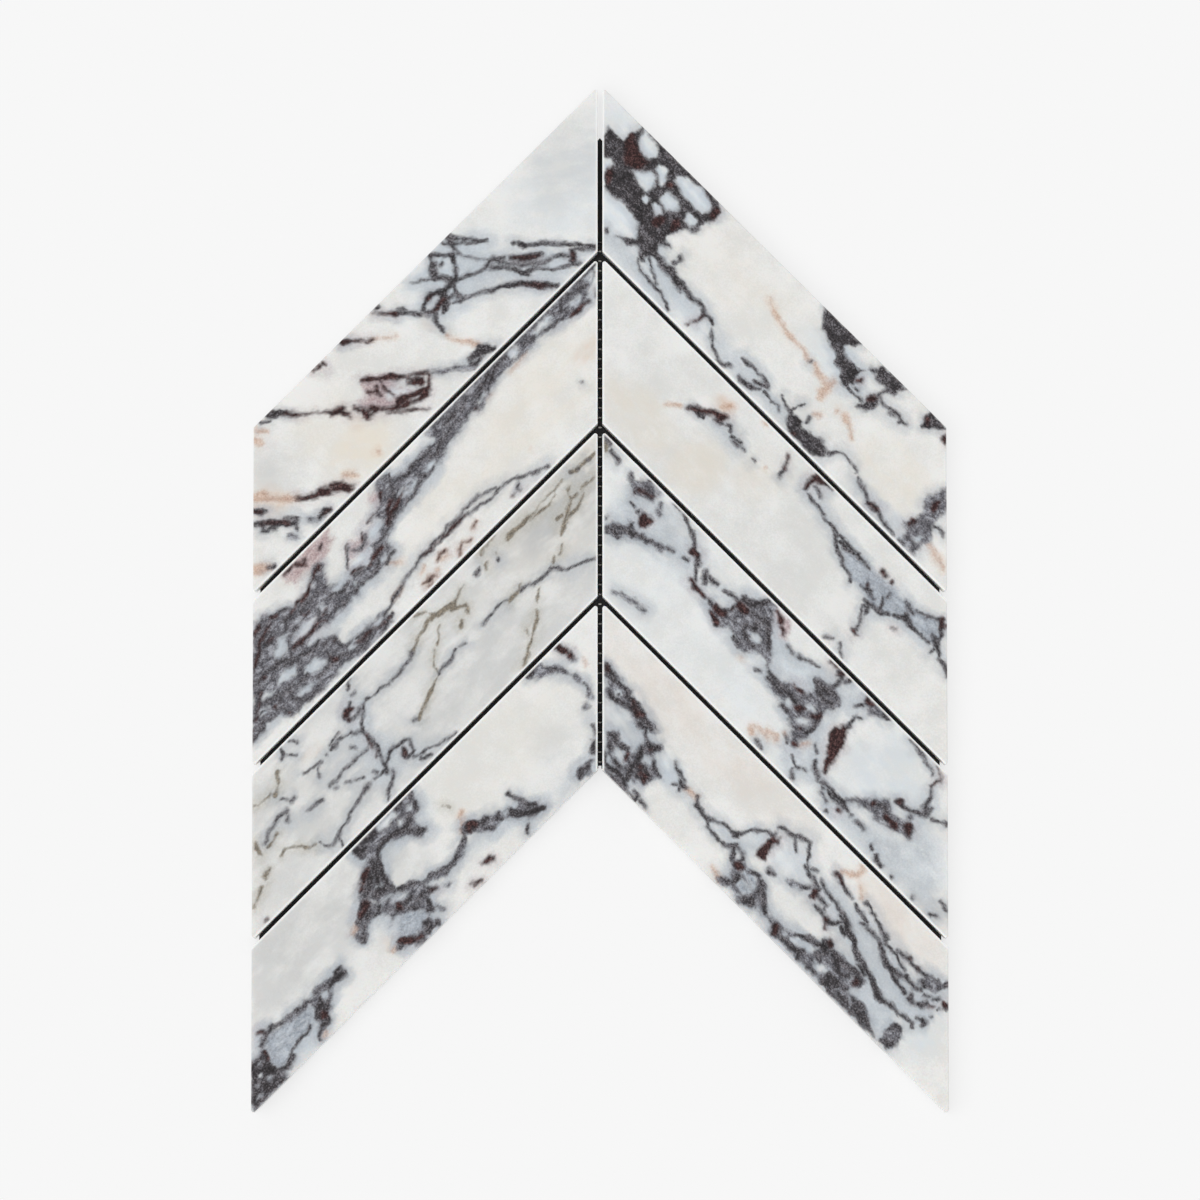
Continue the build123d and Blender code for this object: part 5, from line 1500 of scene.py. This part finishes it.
# Right strip 4: a burgundy and charcoal knot by the notch, brown cracks over the warm inner half,
# and long dark streamers with a bluish grey net along the lower edge of the outer half.
lay_strip(
    "right",
    4,
    bedding=15,
    mist_mass=(
        (150, 12, 165, 14, 185, 19, 215, 21, 220, 31, 200, 35, 180, 30, 160, 26, 146, 21),
        (116, 33, 135, 38, 150, 41, 165, 34, 190, 33, 215, 37, 216, 48.5, 112, 48.5),
        (27, 19, 52, 22, 62, 33, 66, 42, 60, 48, 46, 46, 38, 36, 50, 33, 50, 27, 28, 26),
        (66, 26, 80, 29, 96, 32, 110, 28, 118, 20, 122, 29, 112, 35, 96, 36, 80, 33),
    ),
    grey_mass=(
        (18.3, 17.3, 21, 17, 26, 16.8, 29, 17.3, 28, 18.8, 31, 18.3, 34.5, 18.3, 36, 19.3, 40, 19.2,
         45, 20, 48, 20.8, 51, 21.5, 53.5, 22.8, 51, 23.3, 50.5, 25.5, 53, 27, 54, 26.5, 58, 26.3,
         60, 25.3, 60.5, 27.5, 60.8, 30, 62, 32, 64, 33.5, 67, 34.3, 69, 34.5, 66.5, 35.3, 66.5, 38,
         65.5, 41, 62.5, 42.5, 62, 43.5, 59.5, 42, 58.5, 42, 60, 45.5, 62, 46.5, 60.5, 48.5,
         57.5, 48.5, 53, 47.5, 48, 47, 46.5, 45.5, 44, 42, 41, 38.5, 39.3, 36.5, 40.5, 34.5, 44, 34.5,
         47, 35.5, 51, 34.8, 53, 36, 53.5, 33, 54.5, 29.5, 54.5, 28, 50, 25.8, 48, 26, 46, 25.5,
         43.5, 24.3, 40, 24, 36, 25, 33, 26, 28.5, 26.2, 27.3, 25, 27.5, 22.5, 24, 21, 21.5, 20.5),
        (113, 37, 115, 36.5, 117, 35, 118.5, 35, 120, 37, 121, 41, 121.5, 44.5, 120, 46.5, 117.5, 47.8,
         115, 47.5, 118, 45, 119.5, 44, 118.5, 41.5, 116, 39.5, 113.5, 38.5),
        (122, 35.8, 124, 34.3, 126.5, 34, 129, 35, 132, 36, 134, 38.5, 136, 40.5, 139, 42.5, 142, 44,
         145, 44.3, 145, 45.5, 140, 45, 136, 44, 133.5, 44.5, 132.5, 47, 130, 47.7, 126, 47.5, 128, 45,
         129, 43, 129.5, 40, 128.5, 37.5, 127.5, 35.8, 125, 35.3, 123, 36.5),
        (144.5, 43.5, 146, 43, 148, 43, 151, 42, 154, 40.5, 158, 38.5, 161, 37, 165, 36, 168, 33.5,
         170, 35, 176, 34.5, 181, 33.5, 183, 32.5, 186, 33, 189, 34.5, 188.5, 36.5, 186, 38, 185, 41,
         185.5, 43, 190, 43, 194, 42.5, 198, 44, 202, 45.5, 203.5, 47.5, 145.5, 47.8, 145, 46),
        (205, 15, 207, 13.5, 210, 13, 212, 12.5, 213.5, 11.5, 214.5, 13, 213, 15.5, 212.5, 17.5,
         209, 18.8, 205.5, 18.5, 205, 20, 204.8, 19),
        (209.5, 38, 213.5, 37.5, 214.5, 40, 215, 43.5, 216, 46, 214.5, 47.8, 209.5, 47.8, 210.5, 45,
         209.5, 42),
    ),
    fragments=(
        (28, 21.5, 29.5, 20, 31.5, 19.8, 33.3, 21, 33.5, 23, 31.5, 24.5, 30, 24, 28.3, 23),
        (57, 33, 60, 31, 62.5, 33, 62.5, 35, 58.5, 34.8),
        (47, 38, 50, 37, 52, 39.5, 55, 41, 55, 43, 51, 43.5, 48, 42, 46.5, 40),
        (45.5, 44, 48, 43.5, 50, 45, 48, 46),
        (153, 43, 157, 41, 162, 38.5, 165, 38.5, 166, 41.5, 163, 43.5, 158, 43.5, 154, 44.5),
        (149, 43.5, 152, 43, 152.5, 45.5, 150, 46),
        (168, 43, 172, 40, 175, 42, 173, 46, 169, 46),
        (182.5, 37, 184, 36.5, 184.5, 39.5, 182.5, 40),
        (188, 43.8, 191.5, 43.3, 191, 45.5, 187.5, 45.5),
    ),
    slate_mass=(
        (122, 37, 125, 36, 127.5, 37.5, 128, 39.5, 124, 40, 122, 39),
        (122.5, 41, 128, 41, 128.5, 43, 126, 45, 123, 44.5),
    ),
    wine_mass=(
        (119.3, 19, 121, 18.3, 122.2, 17, 122.5, 18.5, 122, 20, 121.8, 24, 123, 25.5, 123.3, 27.5,
         122.3, 29.2, 119.5, 29, 118.8, 27.5, 118.8, 25, 119, 22),
    ),
    dark=(
        (32, 22.3, .4),
        (19, 18, .7, 22, 17.6, .9, 25, 18, .9),
        (23, 20, .7, 26.5, 19.5, .8),
        (28.5, 19, .7, 31, 18.7, .6, 34, 18.8, .7, 35.5, 20.3, .6),
        (28, 24.5, .7, 31, 25.5, .7, 35, 24, .7, 38, 22.8, .7),
        (36, 20.5, .8, 40, 20, .9, 44, 21, 1, 48, 22.5, 1.1, 51.5, 22.7, .8),
        (39, 22.5, .8, 42, 22.8, .8, 45, 23.5, .8),
        (46, 24.8, .7, 48.5, 25, .8, 50, 24, .7),
        (50.5, 25, .5, 53, 27, .4),
        (55, 28.5, .9, 58, 28, 1.1, 59.5, 26.5, .8),
        (54.5, 31, .8, 56, 33.5, 1, 57, 36, 1, 57, 39, 1.1, 58, 42, 1.1, 59.5, 45, 1),
        (62.5, 31.5, .6, 63.5, 33.3, .7, 66, 34.2, .6, 68.5, 34.5, .4),
        (41, 36.5, .8, 43.5, 36, .9, 46, 37.5, .7),
        (47.5, 36.5, .8, 50, 36, .7),
        (43, 39, .7, 45.5, 41, .7),
        (50, 42.8, .6, 54, 43.3, .7),
        (49, 46.5, .7, 53, 46, .9, 57, 46, .9, 60, 46.5, .9),
        # painted shade: this dark mark on the lower edge stands for the shaded sawn side below it
        (58, 48.2, .5, 61.5, 48, .5),
        (60, 37, .8, 63, 36.5, .8, 65.5, 38, .8),
        (61, 41, .8, 64, 40.5, .8),
        (45.5, 44, .5, 47, 45.5, .5, 48, 46.5, .4),
        (65.5, 46.3, .6, 67.5, 47, .8, 68, 48.3, .7),
        (69.5, 47, .5, 72.5, 47.8, .4),
        # painted shade: this dark line on the lower edge stands for the shaded sawn side below it
        (50, 48.5, .4, 68, 48.5, .4),
        (69.3, 25.8, .4, 71, 27, .3, 73, 27.8, .5, 75, 28.3, .5, 76.5, 28.2, .5),
        (75, 29.5, .5, 76.5, 30.5, .8, 78, 30.3, .9, 79.3, 30, .4),
        (76.5, 31, .5, 77.8, 32.8, .5),
        (74.2, 32.8, .4, 75.5, 32.2, .3),
        (85, 29.3, .4, 87, 30.8, .5, 87.5, 32, .6),
        (87.5, 32.3, .7, 90.5, 32.3, .8, 93, 32.8, .6, 95.5, 33, .5),
        (95.5, 33, .4, 97.5, 31.2, .4, 100, 29.8, .4, 103, 29.3, .4, 106, 29.3, .5),
        (106, 29.2, .6, 108, 28.3, .8, 109.3, 26.5, .6, 110.5, 24.5, .5, 112, 22.3, .4, 114, 20.3, .4,
         116, 19, .5, 118.5, 18.5, .5),
        (107.5, 29.8, .7, 108.3, 28.8, .7),
        (95, 33.3, .4, 97, 35, .5, 101, 35.5, .4, 104, 35.8, .5, 107, 35.8, .5),
        (108, 35.3, .6, 110, 33.5, .8, 111, 32, .7),
        (111, 32, .6, 112, 34.5, .8, 113, 37.5, .7),
        (112, 32, .3, 115, 32.5, .3, 117, 34.5, .4),
        (118.3, 14.2, .5, 120, 13.5, .5, 122, 13, .5, 125, 12.3, .6, 127.5, 11.2, .5, 129.5, 10, .5,
         131.5, 10, .5),
        (131.5, 10.2, .5, 134, 12.5, .5, 136, 14.8, .5, 137.3, 16.3, .4),
        (126.5, 13, .4, 128.5, 14.8, .4, 130.3, 16.2, .3),
        (119, 17, .3, 119.5, 18.5, .6),
        (128, 30.3, .7, 129.5, 29.7, .8, 130.8, 29.5, .5),
        (117, 46.5, .9, 119, 45.5, .9),
        (123.5, 35.2, .5, 126.5, 34.5, .5),
        (129.5, 36, .9, 131.5, 37.5, 1.1, 131, 39.5, .9),
        (133.5, 39, .9, 136, 41.3, .9, 139, 43, .7),
        (131, 43, 1.1, 132.5, 45, 1.2, 129, 46.5, .9),
        (120.5, 41, 1, 121, 44, 1),
        (145.5, 43.8, .8, 147, 45, 1.2, 148, 46.5, .9),
        (150, 47, .7, 154, 45.8, .8, 158, 46, .8, 160.5, 45.5, .8),
        (161.5, 44, .7, 161.5, 46.5, .9, 162.3, 47.2, .6),
        (155, 41, .5, 158.5, 39.3, .6, 161.5, 37.8, .6, 165, 36.8, .7),
        (165.5, 35, 1.2, 167, 34, 1, 166, 36.5, 1.2, 168.5, 37.5, .9),
        (166.5, 40.5, .9, 169, 42, .7),
        (172, 36, 1, 175, 37.3, 1.2, 177, 38.5, .8),
        (170, 34.8, .6, 176, 35.5, .8, 181, 34.8, .8, 184.5, 34, .8),
        (177, 40, .5, 181, 39, .6, 182.3, 37.5, .7),
        (185, 36, .9, 187, 36, 1, 188, 37.5, .7, 185.5, 39, .7),
        (183, 42.5, .6, 185.3, 41.8, .9),
        (176, 43.5, .9, 178.5, 44, 1.5, 181.5, 43.5, 1.2, 180, 46, 1.4, 176.5, 46.5, 1.2),
        (184, 45.5, .7, 187, 46.5, .8, 190, 46, .8),
        (190, 43, .7, 194, 43, .9, 198, 44.2, .9, 201, 45.7, .9, 202.5, 46.8, .7),
        (193, 45.5, 1, 197, 46, 1, 200, 47, .8),
        (168, 47, .6, 171, 47.2, .6),
        # painted shade: this dark line on the lower edge stands for the shaded sawn side below it
        (180, 48, .5, 190, 47.7, .4, 200, 47.8, .4, 207, 47.8, .3),
        (148.5, 11, .4, 151, 11.5, .5, 154, 12.5, .5, 158, 13.3, .4, 161, 14, .25),
        (163.5, 14.5, .4, 166, 15.5, .5, 168.5, 15.8, .5, 172, 16.2, .4),
        (166, 11, .6, 168, 11, .4, 171.5, 12.2, .4, 175, 13.2, .5, 179, 14.5, .5, 182.5, 16, .7,
         184, 17.5, .5, 187, 17.8, .4, 190.5, 17.2, .5, 193, 18.3, .4, 197, 19.8, .4),
        (180, 14.8, .5, 183, 15, .5),
        (189, 16, .4, 191, 15.5, .5, 195, 15.5, .5, 200, 15.4, .6, 205, 15, .6),
        (170.5, 18.8, .6, 172.5, 17.8, .6, 174, 17.8, .5, 178, 18.2, .4, 181, 18.3, .5, 183, 19.2, .6,
         186, 21.3, .7, 189, 23, .9, 193, 23.2, 1, 197, 22.5, .9, 199.5, 20.8, .7),
        (193, 23.8, .8, 197, 25, .7, 200, 25.8, .6, 203.5, 26.2, .7),
        (206, 25, .7, 206.5, 26.5, .9, 209, 26.3, .7),
        (209.5, 26.3, .4, 212.5, 25, .8, 212.8, 22.5, .6),
        (199.5, 20.8, .7, 202, 21.5, .5, 205, 21.8, .6, 207.5, 20.5, .6),
        (210, 21.5, .4, 212, 20.5, .4, 213.5, 19, .3),
        (206, 17.5, .7, 207.5, 18.3, .8),
        (213.5, 12, .9),
        (212.5, 14.5, .6),
        (209.5, 13, .5),
        (214, 19.5, .6, 215.5, 17.8, .5),
        (220, 18.5, .7),
        (218.5, 21, .4),
        (218.7, 25.7, .4),
        (216.5, 29, .6, 218.5, 29.5, .9, 218.5, 30.7, .6),
        (214.5, 29.8, .4, 216, 29.5, .5),
        (137.5, 18, .6, 139.5, 18.5, .6, 142, 19.2, .5, 145, 20, .4, 148, 20.3, .6),
        (137.3, 16.3, .4, 139, 17.5, .4),
        (140, 16.8, .3, 142.5, 16.3, .4),
        (146.5, 17.8, .5, 149, 18.8, .5, 152, 19.6, .5, 157, 20, .5, 161, 20.8, .6, 165, 21.7, .7,
         167.5, 22.8, .9),
        (167, 23, .9, 169, 24.5, 1, 172, 25.5, .9, 175, 26.8, .9, 177.5, 28.3, .9, 180, 29.5, 1,
         184, 30.3, .8, 187, 31, .7, 190, 32, .9, 193, 33.3, 1, 196, 34.5, 1, 199, 35.2, 1,
         201, 35, .7, 203.5, 34, .8, 206, 34, .5, 210, 33.8, .4, 213, 33, .5, 215, 32.8, .4),
        (195, 35, .6, 199.5, 36, .5),
        (214.5, 33, .4, 216, 34, .5),
        (145, 22.8, .4, 143.8, 24, .6, 142.8, 25, .5),
        (147.5, 22.5, .7, 148.5, 24, .9, 147.8, 25.5, .5),
        (149, 23, .6, 152, 23.3, .5, 155.5, 23.2, .4),
        (148, 20.5, .6, 148.5, 22, .6),
        (151.5, 26.5, .4, 154, 27, .6, 157, 27, .6, 159.5, 27.5, .5),
        (159.5, 27.5, .5, 161.8, 27, .6, 163.5, 25.7, .7, 164.3, 24, .6),
        (162, 22.5, .5, 164.5, 22.5, .7, 166.5, 23, .8),
        (166, 25.5, .9, 168, 26, 1, 169.3, 26.8, .5),
        (154.5, 24, .3, 155.5, 25.5, .3),
        (182, 32, .6, 184, 31.5, .8, 187, 32, .6),
        (210.5, 38.5, .8, 212.5, 38.5, .7),
        (211, 40, .5, 210, 42, .5),
        (214.5, 41.3, .7),
        (215.5, 43, .4, 216.5, 44, .4),
        (212.5, 46, .9, 214.5, 45, 1.1, 211, 47.3, .8),
        (214, 47, .8),
    ),
    grey=(
        (121, 39.8, .4, 125, 40, .4, 129, 40.5, .4),
        (122, 45, .5, 124, 44.5, .5, 126, 45, .5),
        (136.5, 27.5, .4, 139, 26.5, .4, 142, 25.5, .4),
    ),
    wine=(
        (20.5, 18, .7, 22, 18.2, .6),
        (38, 20.5, .6, 43, 22.5, .8, 45, 21, .7),
        (52, 37.5, .8, 53, 39, .7),
        (59, 37.5, .8, 61, 39, .9, 64, 38.5, .9, 65, 40.5, .7),
        (57.5, 29.5, .8),
        (116.5, 37.5, 1, 118.5, 38, 1),
        (166.5, 32.5, .6, 168, 33.8, .6),
        (146.5, 44.5, .9, 147.8, 46, .9),
        (186, 37.5, .8),
        (195, 15.5, .4),
        (200.5, 15, .4),
        (148.5, 11.2, .3, 154, 12.5, .3),
        (218, 18.5, .7, 219.5, 17.5, .5),
        (216, 21.5, .4, 214.5, 22.5, .3),
        (147.8, 23, .7, 148.5, 24.5, .8),
        (159.3, 27.8, .6, 160.3, 29.3, .5, 161.5, 30.5, .5),
    ),
    rust=(
        (79.5, 30.2, .25, 82, 29.8, .4, 85, 29.5, .5),
        (111, 46, .4, 114, 46.8, .6, 116.5, 47, .6),
        (155, 3, .4, 155, 5.5, .6, 153, 7, .5, 151, 8, .5, 149.8, 10, .5),
        (154.5, 1.5, .8),
        (160, 8.5, .3, 162.3, 9.3, .4, 163.3, 11, .5),
    ),
    cool=(
        (42, 30, 12, 5, .9), (69, 30, 8, 5, .9),
        (114, 26, 5, 6, .9), (134, 22, 12, 8, .5), (102, 33, 7, 3, .6),
        (200, 30, 16, 4, .8), (200, 40, 11, 5, .9), (218, 32, 10, 16, .6),
    ),
    shade=((157, 23, 10, 4, .6), (165, 27, 25, 8, .6), (122, 14, 5, 2, .4), (192, 24, 26, 10, .9),
           (46, 31, 18, 13, .8), (180, 42, 34, 8, .5)),
    blush=((22, 10, 9, 5, .5), (60, 9, 60, 12, .35), (178, 6, 26, 9, .45)),
)

# Mesh backing: one sheet of woven glass threads, set in near-black resin that was rolled on unevenly.
# It is glued under all the strips and shows only at the bottom of the joints; its near-black is painted
# shade there.
# The resin covers the threads, a painted shade that hides them in the slanted joints, apart from a bare
# groove down the central joint, where they cross as small pale ticks.
mesh_pitch = 4.13
thread_width = 0.7
thread_sides = 6
# The resin top stands above the threads' top, so the film covers them: painted shade over the threads
resin_top = 0.8
resin_underside = 0.2
groove_floor = 0.4
groove_width = 1.2
groove_start = 151.0
thread_top = 0.74
film_wander = 0.5
film_wave = 9.0
film_seed = 3
film_step = 2.0
film_overlap = 0.1
top_inset = 15.0
side_inset = 2.5
bottom_inset = 0.5
ridge_y = apex_y + inner_x * tan(slope)
mesh_tip = ridge_y - top_inset / cos(slope)
mesh_notch = ridge_y - column_height + bottom_inset / cos(slope)
mesh_side = inner_x + strip_length * cos(slope) - side_inset

# Near-black resin: painted shade for the bottom of the joints, with a dull skin where it dried
joint_shade_resin = bpy.data.materials.new("near-black backing film for painted joint shade")
joint_shade_resin.use_nodes = True
joint_shade_resin_shader = joint_shade_resin.node_tree.nodes["Principled BSDF"]
joint_shade_resin_shader.inputs["Base Color"].default_value = linear("#101011")
joint_shade_resin_shader.inputs["Roughness"].default_value = 0.6

# Glass thread: pale twisted fibres that catch what light there is
thread = bpy.data.materials.new("glass fibre thread")
thread.use_nodes = True
thread_shader = thread.node_tree.nodes["Principled BSDF"]
thread_shader.inputs["Base Color"].default_value = linear("#E6E3DC")
thread_shader.inputs["Roughness"].default_value = 0.7

# Resin film, painted shade in the joints: the chevron outline with an uneven rim, open along the groove,
# and the groove's own thin floor
corners = np.array(
    [
        (0, mesh_tip),
        (mesh_side, mesh_tip - mesh_side),
        (mesh_side, mesh_notch - mesh_side),
        (groove_width / 2, mesh_notch - groove_width / 2),
        (groove_width / 2, groove_start),
        (-groove_width / 2, groove_start),
        (-groove_width / 2, mesh_notch - groove_width / 2),
        (-mesh_side, mesh_notch - mesh_side),
        (-mesh_side, mesh_tip - mesh_side),
    ]
)
rim = []
for start, end in zip(corners, np.roll(corners, -1, axis=0)):
    edge = end - start
    length = np.hypot(*edge)
    wavy = max(abs(start[0]), abs(end[0])) > groove_width
    stretch = np.linspace(0, 1, round(length / film_step) if wavy else 1, endpoint=False)[:, None]
    line = start + stretch * edge
    if wavy:
        inward = np.array([edge[1], -edge[0]]) / length
        squeeze = (np.clip(wander(line[:, :1], line[:, 1:], film_wave, film_seed), -1, 1) + 1) / 2
        line = line + inward * film_wander * squeeze
    rim.append(line)
rim = np.concatenate(rim)
sunk = groove_width / 2 + film_overlap
groove_top = groove_start + film_overlap
groove_end = mesh_notch + film_wander
groove = [(-sunk, groove_end), (-sunk, groove_top), (sunk, groove_top), (sunk, groove_end)]
film_points = []
film_faces = []
for outline, top in ((rim, resin_top), (groove, groove_floor)):
    first = len(film_points)
    count = len(outline)
    film_points += [(x * mm, y * mm, z * mm) for z in (resin_underside, top) for x, y in outline]
    film_faces.append([first + i for i in range(count)])
    film_faces.append([first + 2 * count - 1 - i for i in range(count)])
    film_faces += [
        [first + i, first + i + count, first + (i + 1) % count + count, first + (i + 1) % count]
        for i in range(count)
    ]
film_mesh = bpy.data.meshes.new("mesh_backing_film")
film_mesh.from_pydata(film_points, [], film_faces)
film_mesh.materials.append(joint_shade_resin)
backing = show(bpy.data.objects.new("mesh_backing_net", film_mesh))

# Threads: a crosswise pair in each row, cut at the chevron's edges, and lengthwise ones on the floor
net = bpy.data.node_groups.new("woven glass threads", "GeometryNodeTree")
net.interface.new_socket("Geometry", in_out="OUTPUT", socket_type="NodeSocketGeometry")
net.interface.new_socket("Geometry", in_out="INPUT", socket_type="NodeSocketGeometry")
thread_sizes = {
    "Pitch": mesh_pitch,
    "Thread Width": thread_width,
    "Half Width": mesh_side - film_wander,
    "Tip": mesh_tip - film_wander,
    "Notch": mesh_notch + film_wander,
    "Top": thread_top,
}
sockets = {}
for name in thread_sizes:
    sockets[name] = net.interface.new_socket(name, in_out="INPUT", socket_type="NodeSocketFloat").identifier
given = node(net, "NodeGroupInput").outputs


def sum_of(operation, *values):
    """One step of arithmetic between sockets or numbers."""
    return node(net, "ShaderNodeMath", dict(enumerate(values)), operation=operation).outputs[0]


index = node(net, "GeometryNodeInputIndex").outputs[0]
radius = sum_of("DIVIDE", given["Thread Width"], 2)
rod = node(
    net,
    "GeometryNodeMeshCylinder",
    {"Vertices": thread_sides, "Radius": radius, "Depth": 1.0},
    fill_type="NGON",
).outputs["Mesh"]
rod = node(
    net,
    "GeometryNodeTransform",
    {"Geometry": rod, "Translation": (0.5, 0, 0), "Rotation": (0, pi / 2, 0)},
).outputs[0]

reach_down = sum_of("ADD", given["Half Width"], sum_of("SUBTRACT", given["Tip"], given["Notch"]))
pair_count = sum_of("FLOOR", sum_of("DIVIDE", reach_down, given["Pitch"]))
pair = sum_of("FLOOR", sum_of("DIVIDE", index, 2))
left_side = sum_of("MODULO", index, 2)
cross_y = sum_of("SUBTRACT", given["Tip"], sum_of("MULTIPLY", sum_of("ADD", pair, 0.5), given["Pitch"]))
outer_end = sum_of("MINIMUM", given["Half Width"], sum_of("SUBTRACT", given["Tip"], cross_y))
inner_end = sum_of("MAXIMUM", 0, sum_of("SUBTRACT", given["Notch"], cross_y))
cross_x = sum_of("MULTIPLY", inner_end, sum_of("SUBTRACT", 1, sum_of("MULTIPLY", left_side, 2)))
side_count = sum_of("FLOOR", sum_of("DIVIDE", given["Half Width"], given["Pitch"]))
long_x = sum_of(
    "MULTIPLY", sum_of("SUBTRACT", sum_of("ADD", index, 0.5), side_count), given["Pitch"]
)
lays = (
    (
        sum_of("MULTIPLY", pair_count, 2),
        (cross_x, cross_y, sum_of("SUBTRACT", given["Top"], radius)),
        sum_of("MULTIPLY", left_side, pi),
        sum_of("SUBTRACT", outer_end, inner_end),
    ),
    (
        sum_of("MULTIPLY", side_count, 2),
        (
            long_x,
            sum_of("SUBTRACT", given["Notch"], sum_of("ABSOLUTE", long_x)),
            radius,
        ),
        pi / 2,
        sum_of("SUBTRACT", given["Tip"], given["Notch"]),
    ),
)
joined = node(net, "GeometryNodeJoinGeometry")
for number, spot, turn, length in lays:
    spot = node(net, "ShaderNodeCombineXYZ", dict(enumerate(spot))).outputs[0]
    turn = node(net, "ShaderNodeCombineXYZ", {2: turn}).outputs[0]
    scale = node(net, "ShaderNodeCombineXYZ", {0: length, 1: 1.0, 2: 1.0}).outputs[0]
    ends = node(net, "GeometryNodePoints", {"Count": number, "Position": spot}).outputs[0]
    laid = node(
        net,
        "GeometryNodeInstanceOnPoints",
        {"Points": ends, "Instance": rod, "Rotation": turn, "Scale": scale},
    ).outputs[0]
    net.links.new(laid, joined.inputs[0])
threads = node(net, "GeometryNodeRealizeInstances", {0: joined.outputs[0]}).outputs[0]
threads = node(net, "GeometryNodeTransform", {"Geometry": threads, "Scale": (mm, mm, mm)}).outputs[0]
threads = node(net, "GeometryNodeSetMaterial", {"Geometry": threads, "Material": thread}).outputs[0]
whole = node(net, "GeometryNodeJoinGeometry")
net.links.new(given["Geometry"], whole.inputs[0])
net.links.new(threads, whole.inputs[0])
node(net, "NodeGroupOutput", {0: whole.outputs[0]})
weave = backing.modifiers.new("woven glass threads", "NODES")
weave.node_group = net
for name, value in thread_sizes.items():
    weave[sockets[name]] = value
bpy.context.view_layer.update()
woven = bpy.data.meshes.new_from_object(backing.evaluated_get(bpy.context.evaluated_depsgraph_get()))
backing.modifiers.remove(weave)
backing.data = woven
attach(backing, "root")
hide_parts("mesh_backing")
